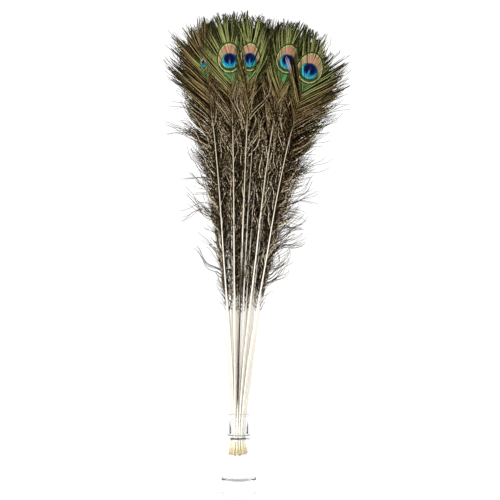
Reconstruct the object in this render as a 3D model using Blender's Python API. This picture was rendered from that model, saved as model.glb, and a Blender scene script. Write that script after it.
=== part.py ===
"""A bunch of peacock tail feathers, tied with thread and standing in a clear glass bottle vase.

The vase stands on z = 0 with its centre on the z axis, the bunch's show side looks along -Y, and every
size is in metres. Each feather is one piece, a shaft with its vane, and runs up from a hexagonal bundle
in the vase's neck to its own layer of the open head, so that no two feathers meet.
"""

import math
import random

import bmesh
import bpy
from mathutils import Vector

MM = 0.001

# vase: a straight body with a heavy foot, a round shoulder and a narrow neck
BODY_RADIUS = 37.5 * MM
HEEL_RADIUS = 8.0 * MM
SHOULDER_TOP = 133.0 * MM
SHOULDER_RADIUS = 17.0 * MM
NECK_RADIUS = 20.4 * MM
VASE_HEIGHT = 176.0 * MM
LIP_RADIUS = 21.6 * MM
LIP_FLARE = 6.0 * MM
LIP_EDGE = 2.0 * MM
NECK_FILLET = 3.0 * MM
GLASS_BASE = 34.0 * MM
WALL = 3.0 * MM
NECK_WALL = 2.0 * MM
VASE_SIDES = 28
ARC_STEPS = 3

# bundle: quills packed in a hexagon, narrowest just above the thread
QUILL_WIDTH = 4.0 * MM
QUILL_SPACING = 4.4 * MM
BUNDLE_RINGS = 3
BUNDLE_RADIUS = BUNDLE_RINGS * QUILL_SPACING
WAIST_HEIGHT = 146.0 * MM
FLARE_TOP = 118.0 * MM
CUT_HEIGHT = 86.0 * MM
CUT_SCATTER = 7.0 * MM
CUT_FLARE = 0.55

# open head: where the eyes of the longest feathers come, and how far the shafts spread there
EYE_HEIGHT = 930.0 * MM
SPREAD_STRAIGHT = 67.0 * MM
SPREAD_CURVED = 35.0 * MM
DEPTH_STRAIGHT = 46.0 * MM
DEPTH_CURVED = 26.0 * MM
BUNDLE_OFFSET = -1.5 * MM
LEAN_STRAIGHT = 29.0 * MM
LEAN_CURVED = 14.0 * MM
LAYERS_SETTLED = 600.0 * MM
SPREAD_SETTLED = 540.0 * MM
EDGE_DEPTH = 0.3
EDGE_REACH = 1.8

# feather: tip heights follow a low dome, and the barbs grow from LOWEST_BARB to the shaft's end
DOME_HEIGHT = 1033.0 * MM
DOME_FALL = 1.1
TIP_SCATTER = 6.0 * MM
SECOND_ROW_DROP = 40.0 * MM
HALF_BARE = 250.0 * MM
BARE_TO = 395.0 * MM
LOWEST_BARB = 415.0 * MM
SHAFT_END_BELOW_TIP = 75.0 * MM
SHAFT_HEIGHTS = (0.0, 0.18, 0.43, 0.65, 0.90, 1.10)
SHAFT_WIDTHS = (4.0 * MM, 4.0 * MM, 3.2 * MM, 2.4 * MM, 1.4 * MM, 0.8 * MM)
VANE_THICKNESS = 0.7 * MM
LOCK_ROWS = 12
SHORT_LOCK = 0.66
LOCK_CROWDING = 0.8
TIP_WIDTH = 3.0 * MM

# barbs from the lowest to the topmost: share of the way up, length, angle from the shaft
BARB_SHARES = (0.0, 0.2, 0.4, 0.55, 0.7, 0.8, 0.88, 0.95, 1.0)
BARB_LENGTHS = tuple(MM * length for length in (35, 48, 66, 90, 112, 122, 112, 94, 74))
BARB_ANGLES = (12.0, 20.0, 31.0, 41.0, 46.0, 46.0, 36.0, 21.0, 5.0)

# the fullest feather, on the show side's right, and how much the others' barbs differ in length
FULLEST = 1.1
FULLNESS_SCATTER = 0.05

# rows of the hexagon from the show side to the back: which quill of the row, counted from the left,
# lies in each layer of the head, and where in the head's width each quill's feather opens
ROWS = (
    ((3, 1, 2, 0), (-0.51, -0.15, 0.50, 1.00)),
    ((3, 0, 2, 4, 1), (-1.00, -0.50, 0.02, 0.52, 1.00)),
    ((4, 1, 3, 0, 5, 2), (-1.00, -0.60, -0.20, 0.20, 0.60, 1.00)),
    ((6, 2, 5, 1, 4, 0, 3), (-1.00, -0.67, -0.33, 0.00, 0.33, 0.67, 1.00)),
    ((5, 2, 0, 4, 1, 3), (-1.00, -0.60, -0.20, 0.20, 0.60, 1.00)),
    ((0, 3, 1, 4, 2), (-1.00, -0.50, 0.00, 0.50, 1.00)),
    ((3, 0, 2, 1), (-1.00, -0.33, 0.33, 1.00)),
)
SHOW_ROWS = 2
FEATHERS = sum(len(order) for order, _ in ROWS)

# thread tie
TIE_HEIGHT = 124.0 * MM
THREAD = 1.3 * MM
THREAD_TURNS = 3
THREAD_GAP = 0.3 * MM
THREAD_BULGE = ((0.6, 0.5), (1.0, 0.0))
TIE_SIDES = 24
KNOT_RADIUS = 1.7 * MM
TAIL_LENGTH = 11.0 * MM
TAIL_RISES = (1.5 * MM, -5.0 * MM)
TAIL_TURNS = (6.0, 20.0)


def blend(value, values, results):
    """The straight-line reading of a small table at a value."""
    for low, high, a, b in zip(values, values[1:], results, results[1:]):
        if value <= high:
            return a + (b - a) * max(value - low, 0.0) / (high - low)
    return results[-1]


def ease(value, low, high):
    """0 below low, 1 above high, and a smooth S between them."""
    share = min(max((value - low) / (high - low), 0.0), 1.0)
    return share * share * (3.0 - 2.0 * share)


def rise(z):
    """0 at the bundle's waist, 1 at the eyes' height."""
    return max(z - WAIST_HEIGHT, 0.0) / (EYE_HEIGHT - WAIST_HEIGHT)


def flare(z):
    """How much wider than its waist the bundle is where the quills splay below the thread."""
    return 1.0 + CUT_FLARE * max(FLARE_TOP - z, 0.0) / (FLARE_TOP - CUT_HEIGHT)


def half_width(z):
    return BUNDLE_RADIUS * flare(z) + SPREAD_STRAIGHT * rise(z) + SPREAD_CURVED * rise(z) ** 4


def half_depth(z):
    return BUNDLE_RADIUS * flare(z) + DEPTH_STRAIGHT * rise(z) + DEPTH_CURVED * rise(z) ** 3


def middle(z):
    return BUNDLE_OFFSET + LEAN_STRAIGHT * rise(z) + LEAN_CURVED * rise(z) ** 3


class Feather:
    """One feather's place: in the bundle, in the head's width and among its layers."""

    def __init__(self, layer, row, place, opening, chance):
        count = len(ROWS[row][0])
        self.name = f"feather_{layer + 1:02d}"
        self.bundle_x = (place - (count - 1) / 2) / BUNDLE_RINGS
        self.bundle_y = (row - BUNDLE_RINGS) * math.sin(math.pi / 3) / BUNDLE_RINGS
        self.opening = opening
        self.layer = (2 * layer + 1) / FEATHERS - 1.0
        self.facing = -1.0 if row < SHOW_ROWS else 1.0
        self.cut = CUT_HEIGHT + CUT_SCATTER * chance.random()
        across = self.shaft_x(DOME_HEIGHT)
        drop = SECOND_ROW_DROP if row == 1 and place else 0.0
        scatter = TIP_SCATTER * (2.0 * chance.random() - 1.0) if row else 0.0
        self.tip = DOME_HEIGHT - DOME_FALL * across * across - drop + scatter
        self.fullness = 1.0 + FULLNESS_SCATTER * (2.0 * chance.random() - 1.0) if layer else FULLEST

    def shaft_x(self, z):
        share = ease(z, WAIST_HEIGHT, SPREAD_SETTLED)
        return middle(z) + half_width(z) * ((1.0 - share) * self.bundle_x + share * self.opening)

    def layer_y(self, x, z):
        """The layer's depth at x: a shallow bow, so that neighbours stay the same share apart."""
        off_middle = (x - middle(z)) / (EDGE_REACH * half_width(z))
        bow = EDGE_DEPTH + (1.0 - EDGE_DEPTH) * (1.0 - min(off_middle * off_middle, 1.0))
        share = ease(z, WAIST_HEIGHT, LAYERS_SETTLED)
        return half_depth(z) * ((1.0 - share) * self.bundle_y + share * self.layer * bow)

    def shaft(self, z):
        x = self.shaft_x(z)
        return Vector((x, self.layer_y(x, z), z))

    def barb_tip(self, z, side, length, angle):
        """Where a barb ends that leaves the shaft at z: out to its side and up, in its own layer."""
        along = (self.shaft(z + MM) - self.shaft(z - MM)).normalized()
        lean = math.atan2(along.x, along.z) + side * math.radians(angle)
        x = self.shaft_x(z) + length * math.sin(lean)
        z_tip = z + length * math.cos(lean)
        return Vector((x, self.layer_y(x, z_tip), z_tip))


def feathers():
    """All feathers, front layer first."""
    chance = random.Random(37)
    made = []
    for row, (order, openings) in enumerate(ROWS):
        for place in order:
            made.append(Feather(len(made), row, place, openings[place], chance))
    return made


def finish(name, mesh, colour, roughness, metallic=0.0, transmission=0.0):
    """An object of a mesh, with its own material."""
    material = bpy.data.materials.new(name)
    material.use_nodes = True
    surface = material.node_tree.nodes["Principled BSDF"]
    surface.inputs["Base Color"].default_value = (*colour, 1.0)
    surface.inputs["Roughness"].default_value = roughness
    surface.inputs["Metallic"].default_value = metallic
    surface.inputs["Transmission Weight"].default_value = transmission
    mesh.materials.append(material)
    piece = bpy.data.objects.new(name, mesh)
    bpy.context.collection.objects.link(piece)
    return piece


def closed_loft(name, rings):
    """A mesh through rings of equally many points, closed at both ends."""
    shape = bmesh.new()
    loops = [[shape.verts.new(point) for point in ring] for ring in rings]
    for below, above in zip(loops, loops[1:]):
        for i, corner in enumerate(below):
            j = (i + 1) % len(below)
            shape.faces.new((corner, below[j], above[j], above[i]))
    shape.faces.new(reversed(loops[0]))
    shape.faces.new(loops[-1])
    bmesh.ops.triangulate(shape, faces=shape.faces)
    bmesh.ops.recalc_face_normals(shape, faces=shape.faces)
    mesh = bpy.data.meshes.new(name)
    shape.to_mesh(mesh)
    shape.free()
    return mesh


def quill_ring(feather, z):
    """Six corners round the bare shaft, in the order that vane_ring uses."""
    centre = feather.shaft(z)
    radius = blend(z, SHAFT_HEIGHTS, SHAFT_WIDTHS) / 2
    corners = []
    for step in range(6):
        turn = math.radians(60 * step)
        corners.append(centre + Vector((radius * math.sin(turn), -radius * math.cos(turn), 0.0)))
    return corners


def vane_ring(feather, z, right_tip, left_tip, width):
    """Ridge, right root, right lock's tip, flat side, left lock's tip and left root at a height."""
    centre = feather.shaft(z)
    ridge = Vector((0.0, -width / 2, 0.0))
    root = Vector((width / 2, width / 2 - VANE_THICKNESS, 0.0))
    other_root = Vector((-root.x, root.y, 0.0))
    back = Vector((0.0, width / 2, 0.0))
    if feather.facing > 0:
        ridge, back = -ridge, -back
        root.y, other_root.y = -root.y, -other_root.y
        return [centre + back, centre + root, right_tip, centre + ridge, left_tip, centre + other_root]
    return [centre + ridge, centre + root, right_tip, centre + back, left_tip, centre + other_root]


def build_feather(feather):
    """A feather as one solid: bare quill, ridged shaft, and a thin vane cut into locks."""
    heights = (feather.cut, FLARE_TOP, WAIST_HEIGHT, HALF_BARE, BARE_TO)
    rings = [quill_ring(feather, z) for z in heights]
    shaft_end = feather.tip - SHAFT_END_BELOW_TIP
    for row in range(LOCK_ROWS):
        share = (row / (LOCK_ROWS - 1)) ** LOCK_CROWDING
        z = LOWEST_BARB + (shaft_end - LOWEST_BARB) * share
        length = feather.fullness * blend(share, BARB_SHARES, BARB_LENGTHS)
        angle = blend(share, BARB_SHARES, BARB_ANGLES)
        right, left = (1.0, SHORT_LOCK) if row % 2 else (SHORT_LOCK, 1.0)
        tips = [feather.barb_tip(z, side, length * part, angle) for side, part in ((1, right), (-1, left))]
        rings.append(vane_ring(feather, z, *tips, blend(z, SHAFT_HEIGHTS, SHAFT_WIDTHS)))
    top = feather.tip - TIP_WIDTH
    ends = [feather.barb_tip(top, side, TIP_WIDTH, 45.0) for side in (1, -1)]
    rings.append(vane_ring(feather, top, *ends, SHAFT_WIDTHS[-1]))
    mesh = closed_loft(feather.name, rings)
    return finish(feather.name, mesh, (0.10, 0.085, 0.035), 0.6)


def arc(centre_r, centre_z, radius, start, end):
    """Points of a round corner in a turned profile, angles in degrees from the outward radius."""
    points = []
    for step in range(ARC_STEPS + 1):
        turn = math.radians(start + (end - start) * step / ARC_STEPS)
        points.append((centre_r + radius * math.cos(turn), centre_z + radius * math.sin(turn)))
    return points


def turned(name, profile, sides):
    """A closed ring or a body on the axis, turned from (radius, height) points."""
    shape = bmesh.new()
    corners = [shape.verts.new((radius, 0.0, height)) for radius, height in profile]
    edges = [shape.edges.new(pair) for pair in zip(corners, corners[1:])]
    if profile[0][0] > 0.0:
        edges.append(shape.edges.new((corners[-1], corners[0])))
    bmesh.ops.spin(
        shape, geom=corners + edges, cent=(0, 0, 0), axis=(0, 0, 1), angle=math.tau, steps=sides,
        use_duplicate=False,
    )
    bmesh.ops.remove_doubles(shape, verts=shape.verts, dist=0.01 * MM)
    bmesh.ops.triangulate(shape, faces=shape.faces)
    bmesh.ops.recalc_face_normals(shape, faces=shape.faces)
    mesh = bpy.data.meshes.new(name)
    shape.to_mesh(mesh)
    shape.free()
    return mesh


def build_vase():
    """The bottle vase: outside from the foot up to the lip, then down the inside to the glass base."""
    shoulder = SHOULDER_RADIUS
    shoulder_base = SHOULDER_TOP - shoulder
    inner = shoulder - WALL
    outside = [(0.0, 0.0)]
    outside += arc(BODY_RADIUS - HEEL_RADIUS, HEEL_RADIUS, HEEL_RADIUS, -90, 0)
    outside += arc(BODY_RADIUS - shoulder, shoulder_base, shoulder, 0, 90)
    outside += [(NECK_RADIUS, SHOULDER_TOP + NECK_FILLET), (NECK_RADIUS, VASE_HEIGHT - LIP_FLARE)]
    outside += [(LIP_RADIUS, VASE_HEIGHT - LIP_EDGE), (LIP_RADIUS - 0.4 * LIP_EDGE, VASE_HEIGHT)]
    bore = NECK_RADIUS - NECK_WALL
    inside = [(LIP_RADIUS - LIP_EDGE, VASE_HEIGHT), (bore, VASE_HEIGHT - LIP_FLARE + MM)]
    inside += [(bore, SHOULDER_TOP - WALL)]
    inside += arc(BODY_RADIUS - shoulder, shoulder_base, inner, 80, 0)
    inside += arc(BODY_RADIUS - WALL - HEEL_RADIUS, GLASS_BASE + HEEL_RADIUS, HEEL_RADIUS, 0, -90)
    inside += [(0.0, GLASS_BASE)]
    mesh = turned("vase", outside + inside, VASE_SIDES)
    mesh.shade_smooth()
    mesh.set_sharp_from_angle(angle=math.radians(40))
    return finish("vase", mesh, (0.95, 0.97, 0.97), 0.03, transmission=1.0)


def build_tie():
    """Turns of thread round the bundle as one ring, with a knot and two short tails."""
    inner = (BUNDLE_RADIUS + QUILL_WIDTH / 2 + THREAD_GAP) / math.cos(math.pi / TIE_SIDES)
    low = TIE_HEIGHT - THREAD * THREAD_TURNS / 2
    profile = [(inner, low), (inner, low + THREAD * THREAD_TURNS)]
    for turn in reversed(range(THREAD_TURNS)):
        middle_z = low + THREAD * (turn + 0.5)
        profile += [(inner + THREAD * side, middle_z + THREAD * up) for side, up in THREAD_BULGE]
    ring = turned("tie", profile, TIE_SIDES)
    for corner in ring.vertices:
        corner.co.x += BUNDLE_OFFSET
    piece = finish("tie", ring, (0.16, 0.15, 0.12), 0.8)
    knot_at = Vector((BUNDLE_OFFSET + inner + THREAD, 0.0, TIE_HEIGHT))
    bpy.ops.mesh.primitive_ico_sphere_add(subdivisions=2, radius=KNOT_RADIUS, location=knot_at)
    added = [bpy.context.object]
    for rise_by, turn in zip(TAIL_RISES, TAIL_TURNS):
        out = Vector((math.cos(math.radians(turn)), -math.sin(math.radians(turn)), 0.0))
        tip = knot_at + out * TAIL_LENGTH + Vector((0.0, 0.0, rise_by))
        bpy.ops.mesh.primitive_cone_add(
            vertices=7, radius1=THREAD / 2, radius2=THREAD / 3, depth=(tip - knot_at).length,
            location=(tip + knot_at) / 2, rotation=(tip - knot_at).to_track_quat("Z", "Y").to_euler(),
        )
        added.append(bpy.context.object)
    for number, tool in enumerate(added):
        tool.name = f"tie_tool_{number}"
        tool.hide_render = True
        tool.display_type = "WIRE"
        union = piece.modifiers.new(tool.name, "BOOLEAN")
        union.operation = "UNION"
        union.object = tool
    return piece


def main():
    for leftover in list(bpy.data.objects):
        bpy.data.objects.remove(leftover)
    build_vase()
    build_tie()
    for feather in feathers():
        build_feather(feather)


main()
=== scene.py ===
# %% [markdown]
# # A bunch of peacock feathers in a glass bottle vase
# The frame holds every quill, the thread and the vase as plain solids at their real size and place. This
# lesson dresses them. Each feather becomes a tapered shaft with hundreds of barbs, the thread becomes a
# wound cord, and the vase becomes smooth clear glass. Nothing is moved: each new mesh is worked out from
# the same formulas as the solids, so that it lies where they lie.

# %% The frame
import math
import random

import bpy
import numpy as np
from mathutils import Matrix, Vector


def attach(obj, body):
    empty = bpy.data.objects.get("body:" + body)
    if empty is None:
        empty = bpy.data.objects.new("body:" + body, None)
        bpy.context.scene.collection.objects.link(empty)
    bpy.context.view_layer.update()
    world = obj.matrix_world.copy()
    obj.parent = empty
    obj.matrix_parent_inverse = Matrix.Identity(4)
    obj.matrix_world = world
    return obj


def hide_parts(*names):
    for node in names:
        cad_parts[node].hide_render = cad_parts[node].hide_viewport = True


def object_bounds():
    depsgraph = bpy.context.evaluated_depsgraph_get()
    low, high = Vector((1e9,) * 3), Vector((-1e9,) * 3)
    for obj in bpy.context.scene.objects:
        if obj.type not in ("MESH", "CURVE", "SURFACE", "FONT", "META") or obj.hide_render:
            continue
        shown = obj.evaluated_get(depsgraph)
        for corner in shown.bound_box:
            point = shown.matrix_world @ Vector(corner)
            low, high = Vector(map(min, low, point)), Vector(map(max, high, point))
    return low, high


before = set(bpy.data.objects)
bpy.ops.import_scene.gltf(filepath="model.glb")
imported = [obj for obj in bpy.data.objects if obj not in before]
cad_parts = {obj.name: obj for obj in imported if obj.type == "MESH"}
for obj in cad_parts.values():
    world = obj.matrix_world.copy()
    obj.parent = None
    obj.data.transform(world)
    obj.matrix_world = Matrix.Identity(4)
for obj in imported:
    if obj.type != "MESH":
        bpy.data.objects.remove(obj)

cad_low, cad_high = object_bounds()
MM = 0.001
print("frame:", len(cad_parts), "solids, top at", round(cad_high.z, 3), "m")

# %% [markdown]
# ## Camera
# The photograph is taken level, from far enough away that the vase and the tips look equally wide. A long
# lens at 4.5 m gives that. One pixel stands for 2.12 mm in the plane of the front eyes, and the lens
# follows from it.

# %% Camera
PICTURE_PIXELS = 500
MM_PER_PIXEL = 2.12 * MM
SENSOR_MM = 36.0
CAMERA_DISTANCE = 4.5
EYE_PLANE = -0.06
VIEW_CENTRE = (0.0240, 0.5285)


def add_camera():
    """A level camera whose frame is PICTURE_PIXELS * MM_PER_PIXEL wide in the plane of the front eyes."""
    data = bpy.data.cameras.new("camera")
    data.sensor_width = SENSOR_MM
    data.lens = SENSOR_MM * (CAMERA_DISTANCE + EYE_PLANE) / (PICTURE_PIXELS * MM_PER_PIXEL)
    camera = bpy.data.objects.new("camera", data)
    camera.location = (VIEW_CENTRE[0], -CAMERA_DISTANCE, VIEW_CENTRE[1])
    camera.rotation_euler = (math.radians(90), 0, 0)
    bpy.context.scene.collection.objects.link(camera)
    bpy.context.scene.camera = camera
    return camera


camera = add_camera()
print("camera:", round(camera.data.lens, 1), "mm lens")

# %% [markdown]
# ## Node helper
# Every finish below is a small graph of nodes. This helper adds a node, fills its inputs with numbers or
# with other nodes' outputs, and hands the output back, so that a pattern reads like a formula. Sums, steps,
# mixes and noise are all that the finishes need, so each has a short name here.


# %% Node helper
class Graph:
    """Adds linked nodes to one node tree."""

    def __init__(self, tree):
        self.tree = tree

    def fill(self, socket, value):
        """Sets an input to a number or a colour, or links it to another node's output."""
        if isinstance(value, bpy.types.NodeSocket):
            self.tree.links.new(value, socket)
        else:
            socket.default_value = value

    def node(self, kind, inputs, **settings):
        """A new node of this kind, with its inputs filled and its settings made."""
        made = self.tree.nodes.new(kind)
        for name, value in settings.items():
            setattr(made, name, value)
        for socket, value in inputs.items():
            self.fill(made.inputs[socket], value)
        return made

    def math(self, operation, *values):
        """The answer of one sum or function, such as ADD or SINE."""
        return self.node("ShaderNodeMath", dict(enumerate(values)), operation=operation).outputs[0]

    def plus(self, first, second):
        return self.math("ADD", first, second)

    def minus(self, first, second):
        return self.math("SUBTRACT", first, second)

    def times(self, first, second):
        return self.math("MULTIPLY", first, second)

    def smooth(self, value, low, high):
        """0 below low and 1 above high, or the reverse where high is the smaller."""
        inputs = {"Value": value, "From Min": low, "From Max": high}
        return self.node("ShaderNodeMapRange", inputs, interpolation_type="SMOOTHSTEP").outputs[0]

    def scale(self, value, low, high, to_low, to_high):
        """to_low + (to_high - to_low) * (value - low) / (high - low), held at both ends."""
        inputs = dict(zip(("Value", "From Min", "From Max", "To Min", "To Max"),
                          (value, low, high, to_low, to_high)))
        return self.node("ShaderNodeMapRange", inputs).outputs[0]

    def mix(self, share, first, second):
        """A colour between two others."""
        inputs = {0: share, 6: first, 7: second}
        return self.node("ShaderNodeMix", inputs, data_type="RGBA").outputs[2]

    def here(self):
        """The point's place on the object, in metres."""
        return self.node("ShaderNodeTexCoord", {}).outputs["Object"]

    def axes(self, vector):
        """A vector's three numbers, X, Y and Z."""
        return self.node("ShaderNodeSeparateXYZ", {0: vector}).outputs

    def carried(self, name):
        """What the mesh's points carry under this name, as Vector or Fac."""
        return self.node("ShaderNodeAttribute", {}, attribute_name=name).outputs

    def noise(self, place, scale, detail=2.0):
        """Soft random patches, about scale of them to a metre."""
        inputs = {"Vector": place, "Scale": scale, "Detail": detail}
        return self.node("ShaderNodeTexNoise", inputs).outputs[0]

    def bump(self, surface, height, strength, distance):
        """Shades the surface as if it stood out by height * distance."""
        inputs = {"Height": height, "Strength": strength, "Distance": distance}
        self.fill(surface.inputs["Normal"], self.node("ShaderNodeBump", inputs).outputs[0])


print("node helper ready")

# %% [markdown]
# ## Groups and materials
# A pattern that several finishes share becomes a group, with named inputs and outputs of its own. A material
# starts as one shader with plain numbers, and patterns are then linked into it one by one.


# %% Groups and materials
def colour(red, green, blue):
    """Shares of red, green and blue light, with a fourth number that says the colour isn't see-through."""
    return (red, green, blue, 1.0)


def new_group(name, inputs, outputs):
    """A node group with float inputs: (its tree, a Graph in it, its inputs, its output node)."""
    tree = bpy.data.node_groups.new(name, "ShaderNodeTree")
    for socket in inputs:
        tree.interface.new_socket(socket, in_out="INPUT", socket_type="NodeSocketFloat")
    for socket, kind in outputs.items():
        tree.interface.new_socket(socket, in_out="OUTPUT", socket_type=kind)
    given = tree.nodes.new("NodeGroupInput")
    result = tree.nodes.new("NodeGroupOutput")
    return tree, Graph(tree), given.outputs, result


def new_material(name, **plain):
    """A material, a Graph in it and its surface shader, on which the plain values are set."""
    material = bpy.data.materials.new(name)
    material.use_nodes = True
    surface = material.node_tree.nodes["Principled BSDF"]
    for socket, value in plain.items():
        surface.inputs[socket.replace("_", " ")].default_value = value
    return material, Graph(material.node_tree), surface


print("a colour has", len(colour(1, 1, 1)), "numbers")

# %% [markdown]
# ## Floor and light
# The photograph is a white cut-out, lit softly from the front and a little from the upper left. A white
# world gives the soft light, one large lamp gives the barbs a bright and a dark side, and the floor is pale
# and plain.

# %% Floor and light
FLOOR_SIZE = 12.0
WORLD_LIGHT = 1.08
LIT_HEIGHT = 0.6
LAMPS = (  # name, place, size in metres, power in watts
    ("key", (-1.9, -3.0, 2.3), 1.3, 75.0),
    ("fill", (2.4, -2.4, 0.9), 1.6, 22.0),
)


def add_floor():
    """A wide pale square under the vase."""
    half = FLOOR_SIZE / 2
    mesh = bpy.data.meshes.new("floor")
    corners = [(-half, -half, 0), (half, -half, 0), (half, half, 0), (-half, half, 0)]
    mesh.from_pydata(corners, [], [(0, 1, 2, 3)])
    floor = bpy.data.objects.new("floor", mesh)
    bpy.context.scene.collection.objects.link(floor)
    material, graph, surface = new_material("pale_floor", Roughness=0.9)
    cloud = graph.noise(graph.here(), 3.0)
    tone = graph.mix(cloud, colour(0.93, 0.93, 0.92), colour(0.97, 0.97, 0.97))
    graph.fill(surface.inputs["Base Color"], tone)
    mesh.materials.append(material)


def add_light():
    """A white world and the lamps, each turned to a point on the bunch at LIT_HEIGHT."""
    scene = bpy.context.scene
    world = bpy.data.worlds.new("white_studio")
    world.use_nodes = True
    background = world.node_tree.nodes["Background"]
    background.inputs["Color"].default_value = colour(1.0, 1.0, 1.0)
    background.inputs["Strength"].default_value = WORLD_LIGHT
    scene.world = world
    scene.view_settings.view_transform = "Standard"
    for name, place, size, power in LAMPS:
        data = bpy.data.lights.new(name, "AREA")
        data.size = size
        data.energy = power
        lamp = bpy.data.objects.new(name, data)
        lamp.location = place
        aim = (0.0, 0.0, LIT_HEIGHT) - np.array(place)
        across = math.hypot(aim[0], aim[1])
        lamp.rotation_euler = (math.atan2(across, -aim[2]), 0.0, math.atan2(-aim[0], aim[1]))
        scene.collection.objects.link(lamp)


add_floor()
add_light()
print("floor and", len(LAMPS), "lamps")

# %% [markdown]
# ## How the bunch spreads
# Real quills are tied where they are packed tightest, and above that each one leans outwards, until the
# eyes stand side by side in a low dome. The whole head follows from three curves: half its width, half its
# depth and its middle, each a straight growth plus a power of the height. They repeat the solids' own
# curves.

# %% How the bunch spreads
QUILL_WIDTH = 4.0 * MM
BUNDLE_RADIUS = 13.2 * MM
WAIST_HEIGHT, FLARE_TOP, CUT_HEIGHT = 146.0 * MM, 118.0 * MM, 86.0 * MM
CUT_SCATTER = 7.0 * MM
CUT_FLARE = 0.55
EYE_HEIGHT = 930.0 * MM
BUNDLE_OFFSET = -1.5 * MM
WIDTH_STEADY, WIDTH_LATE = 67.0 * MM, 35.0 * MM
DEPTH_STEADY, DEPTH_LATE = 46.0 * MM, 26.0 * MM
SHIFT_STEADY, SHIFT_LATE = 29.0 * MM, 14.0 * MM


def ease(value, low, high):
    """0 below low, 1 above high, and the S curve 3u^2 - 2u^3 between them."""
    share = np.clip((value - low) / (high - low), 0.0, 1.0)
    return share * share * (3.0 - 2.0 * share)


def rise(z):
    """0 at the bundle's waist, 1 at the eyes' height."""
    return np.maximum(z - WAIST_HEIGHT, 0.0) / (EYE_HEIGHT - WAIST_HEIGHT)


def flare(z):
    """How much wider than its waist the bundle is where the quills splay below the thread."""
    return 1.0 + CUT_FLARE * np.maximum(FLARE_TOP - z, 0.0) / (FLARE_TOP - CUT_HEIGHT)


def half_width(z):
    """Half the head's width: radius * flare + steady * rise + late * rise^4."""
    return BUNDLE_RADIUS * flare(z) + WIDTH_STEADY * rise(z) + WIDTH_LATE * rise(z) ** 4


def half_depth(z):
    """Half the head's depth: radius * flare + steady * rise + late * rise^3."""
    return BUNDLE_RADIUS * flare(z) + DEPTH_STEADY * rise(z) + DEPTH_LATE * rise(z) ** 3


def middle(z):
    """The x of the head's middle: offset + steady * rise + late * rise^3."""
    return BUNDLE_OFFSET + SHIFT_STEADY * rise(z) + SHIFT_LATE * rise(z) ** 3


for height in (0.15, 0.5, 0.93):
    print("at", height, "m the head is", round(2000 * float(half_width(height))), "mm wide")

# %% [markdown]
# ## Each feather's place
# The quills lie in a hexagon of seven rows. A row gives two numbers to each of its feathers: how far out it
# opens, from -1 at the left edge to 1 at the right, and its layer, counted from the front. The first two
# rows show their bright side to the front, and the others to the back.

# %% Each feather's place
DOME_HEIGHT = 1033.0 * MM
DOME_FALL = 1.1
TIP_SCATTER, SECOND_ROW_DROP = 6.0 * MM, 40.0 * MM
LOWEST_BARB, SHAFT_END_BELOW_TIP = 415.0 * MM, 75.0 * MM
SPREAD_SETTLED, LAYERS_SETTLED = 540.0 * MM, 600.0 * MM
EDGE_DEPTH, EDGE_REACH = 0.3, 1.8
FULLEST, FULLNESS_SCATTER = 1.1, 0.05
ROWS = (  # the places in the order of their layers, and each place's opening
    ((3, 1, 2, 0), (-0.51, -0.15, 0.50, 1.00)),
    ((3, 0, 2, 4, 1), (-1.00, -0.50, 0.02, 0.52, 1.00)),
    ((4, 1, 3, 0, 5, 2), (-1.00, -0.60, -0.20, 0.20, 0.60, 1.00)),
    ((6, 2, 5, 1, 4, 0, 3), (-1.00, -0.67, -0.33, 0.00, 0.33, 0.67, 1.00)),
    ((5, 2, 0, 4, 1, 3), (-1.00, -0.60, -0.20, 0.20, 0.60, 1.00)),
    ((0, 3, 1, 4, 2), (-1.00, -0.50, 0.00, 0.50, 1.00)),
    ((3, 0, 2, 1), (-1.00, -0.33, 0.33, 1.00)),
)
SHOW_ROWS = 2
MIDDLE_ROW = len(ROWS) // 2
FEATHERS = sum(len(order) for order, _ in ROWS)
SOLIDS_SEED = 37


def depth(x, z, bundle_y, layer):
    """A layer's depth at x: its row in the bundle at first, then a bow that is deepest in the middle."""
    off_middle = (x - middle(z)) / (EDGE_REACH * half_width(z))
    bow = EDGE_DEPTH + (1.0 - EDGE_DEPTH) * (1.0 - np.minimum(off_middle * off_middle, 1.0))
    share = ease(z, WAIST_HEIGHT, LAYERS_SETTLED)
    return half_depth(z) * ((1.0 - share) * bundle_y + share * layer * bow)


class Feather:
    """One feather's place: in the bundle, in the head's width and among its layers."""

    def __init__(self, number, row, place, opening, chance):
        count = len(ROWS[row][0])
        self.number = number
        self.node = f"feather_{number:02d}"
        self.bundle_x = (place - (count - 1) / 2) / MIDDLE_ROW
        self.bundle_y = (row - MIDDLE_ROW) * math.sin(math.pi / 3) / MIDDLE_ROW
        self.opening = opening
        self.layer = (2 * number - 1) / FEATHERS - 1.0
        self.facing = -1.0 if row < SHOW_ROWS else 1.0
        self.cut = CUT_HEIGHT + CUT_SCATTER * chance.random()
        across = float(self.shaft_x(DOME_HEIGHT))
        drop = SECOND_ROW_DROP if row == 1 and place else 0.0
        scatter = TIP_SCATTER * (2.0 * chance.random() - 1.0) if row else 0.0
        self.tip = DOME_HEIGHT - DOME_FALL * across * across - drop + scatter
        self.fullness = FULLEST
        if number > 1:
            self.fullness = 1.0 + FULLNESS_SCATTER * (2.0 * chance.random() - 1.0)
        self.shaft_end = self.tip - SHAFT_END_BELOW_TIP

    def shaft_x(self, z):
        """middle + half width * share, which eases from the place in the bundle to the opening."""
        share = ease(z, WAIST_HEIGHT, SPREAD_SETTLED)
        return middle(z) + half_width(z) * ((1.0 - share) * self.bundle_x + share * self.opening)

    def layer_y(self, x, z):
        """The depth of this feather's own layer at x and z."""
        return depth(x, z, self.bundle_y, self.layer)

    def lean(self, z):
        """The shaft's angle from upright at z, to the right, in radians."""
        return np.arctan2(self.shaft_x(z + MM) - self.shaft_x(z - MM), 2 * MM)


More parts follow.
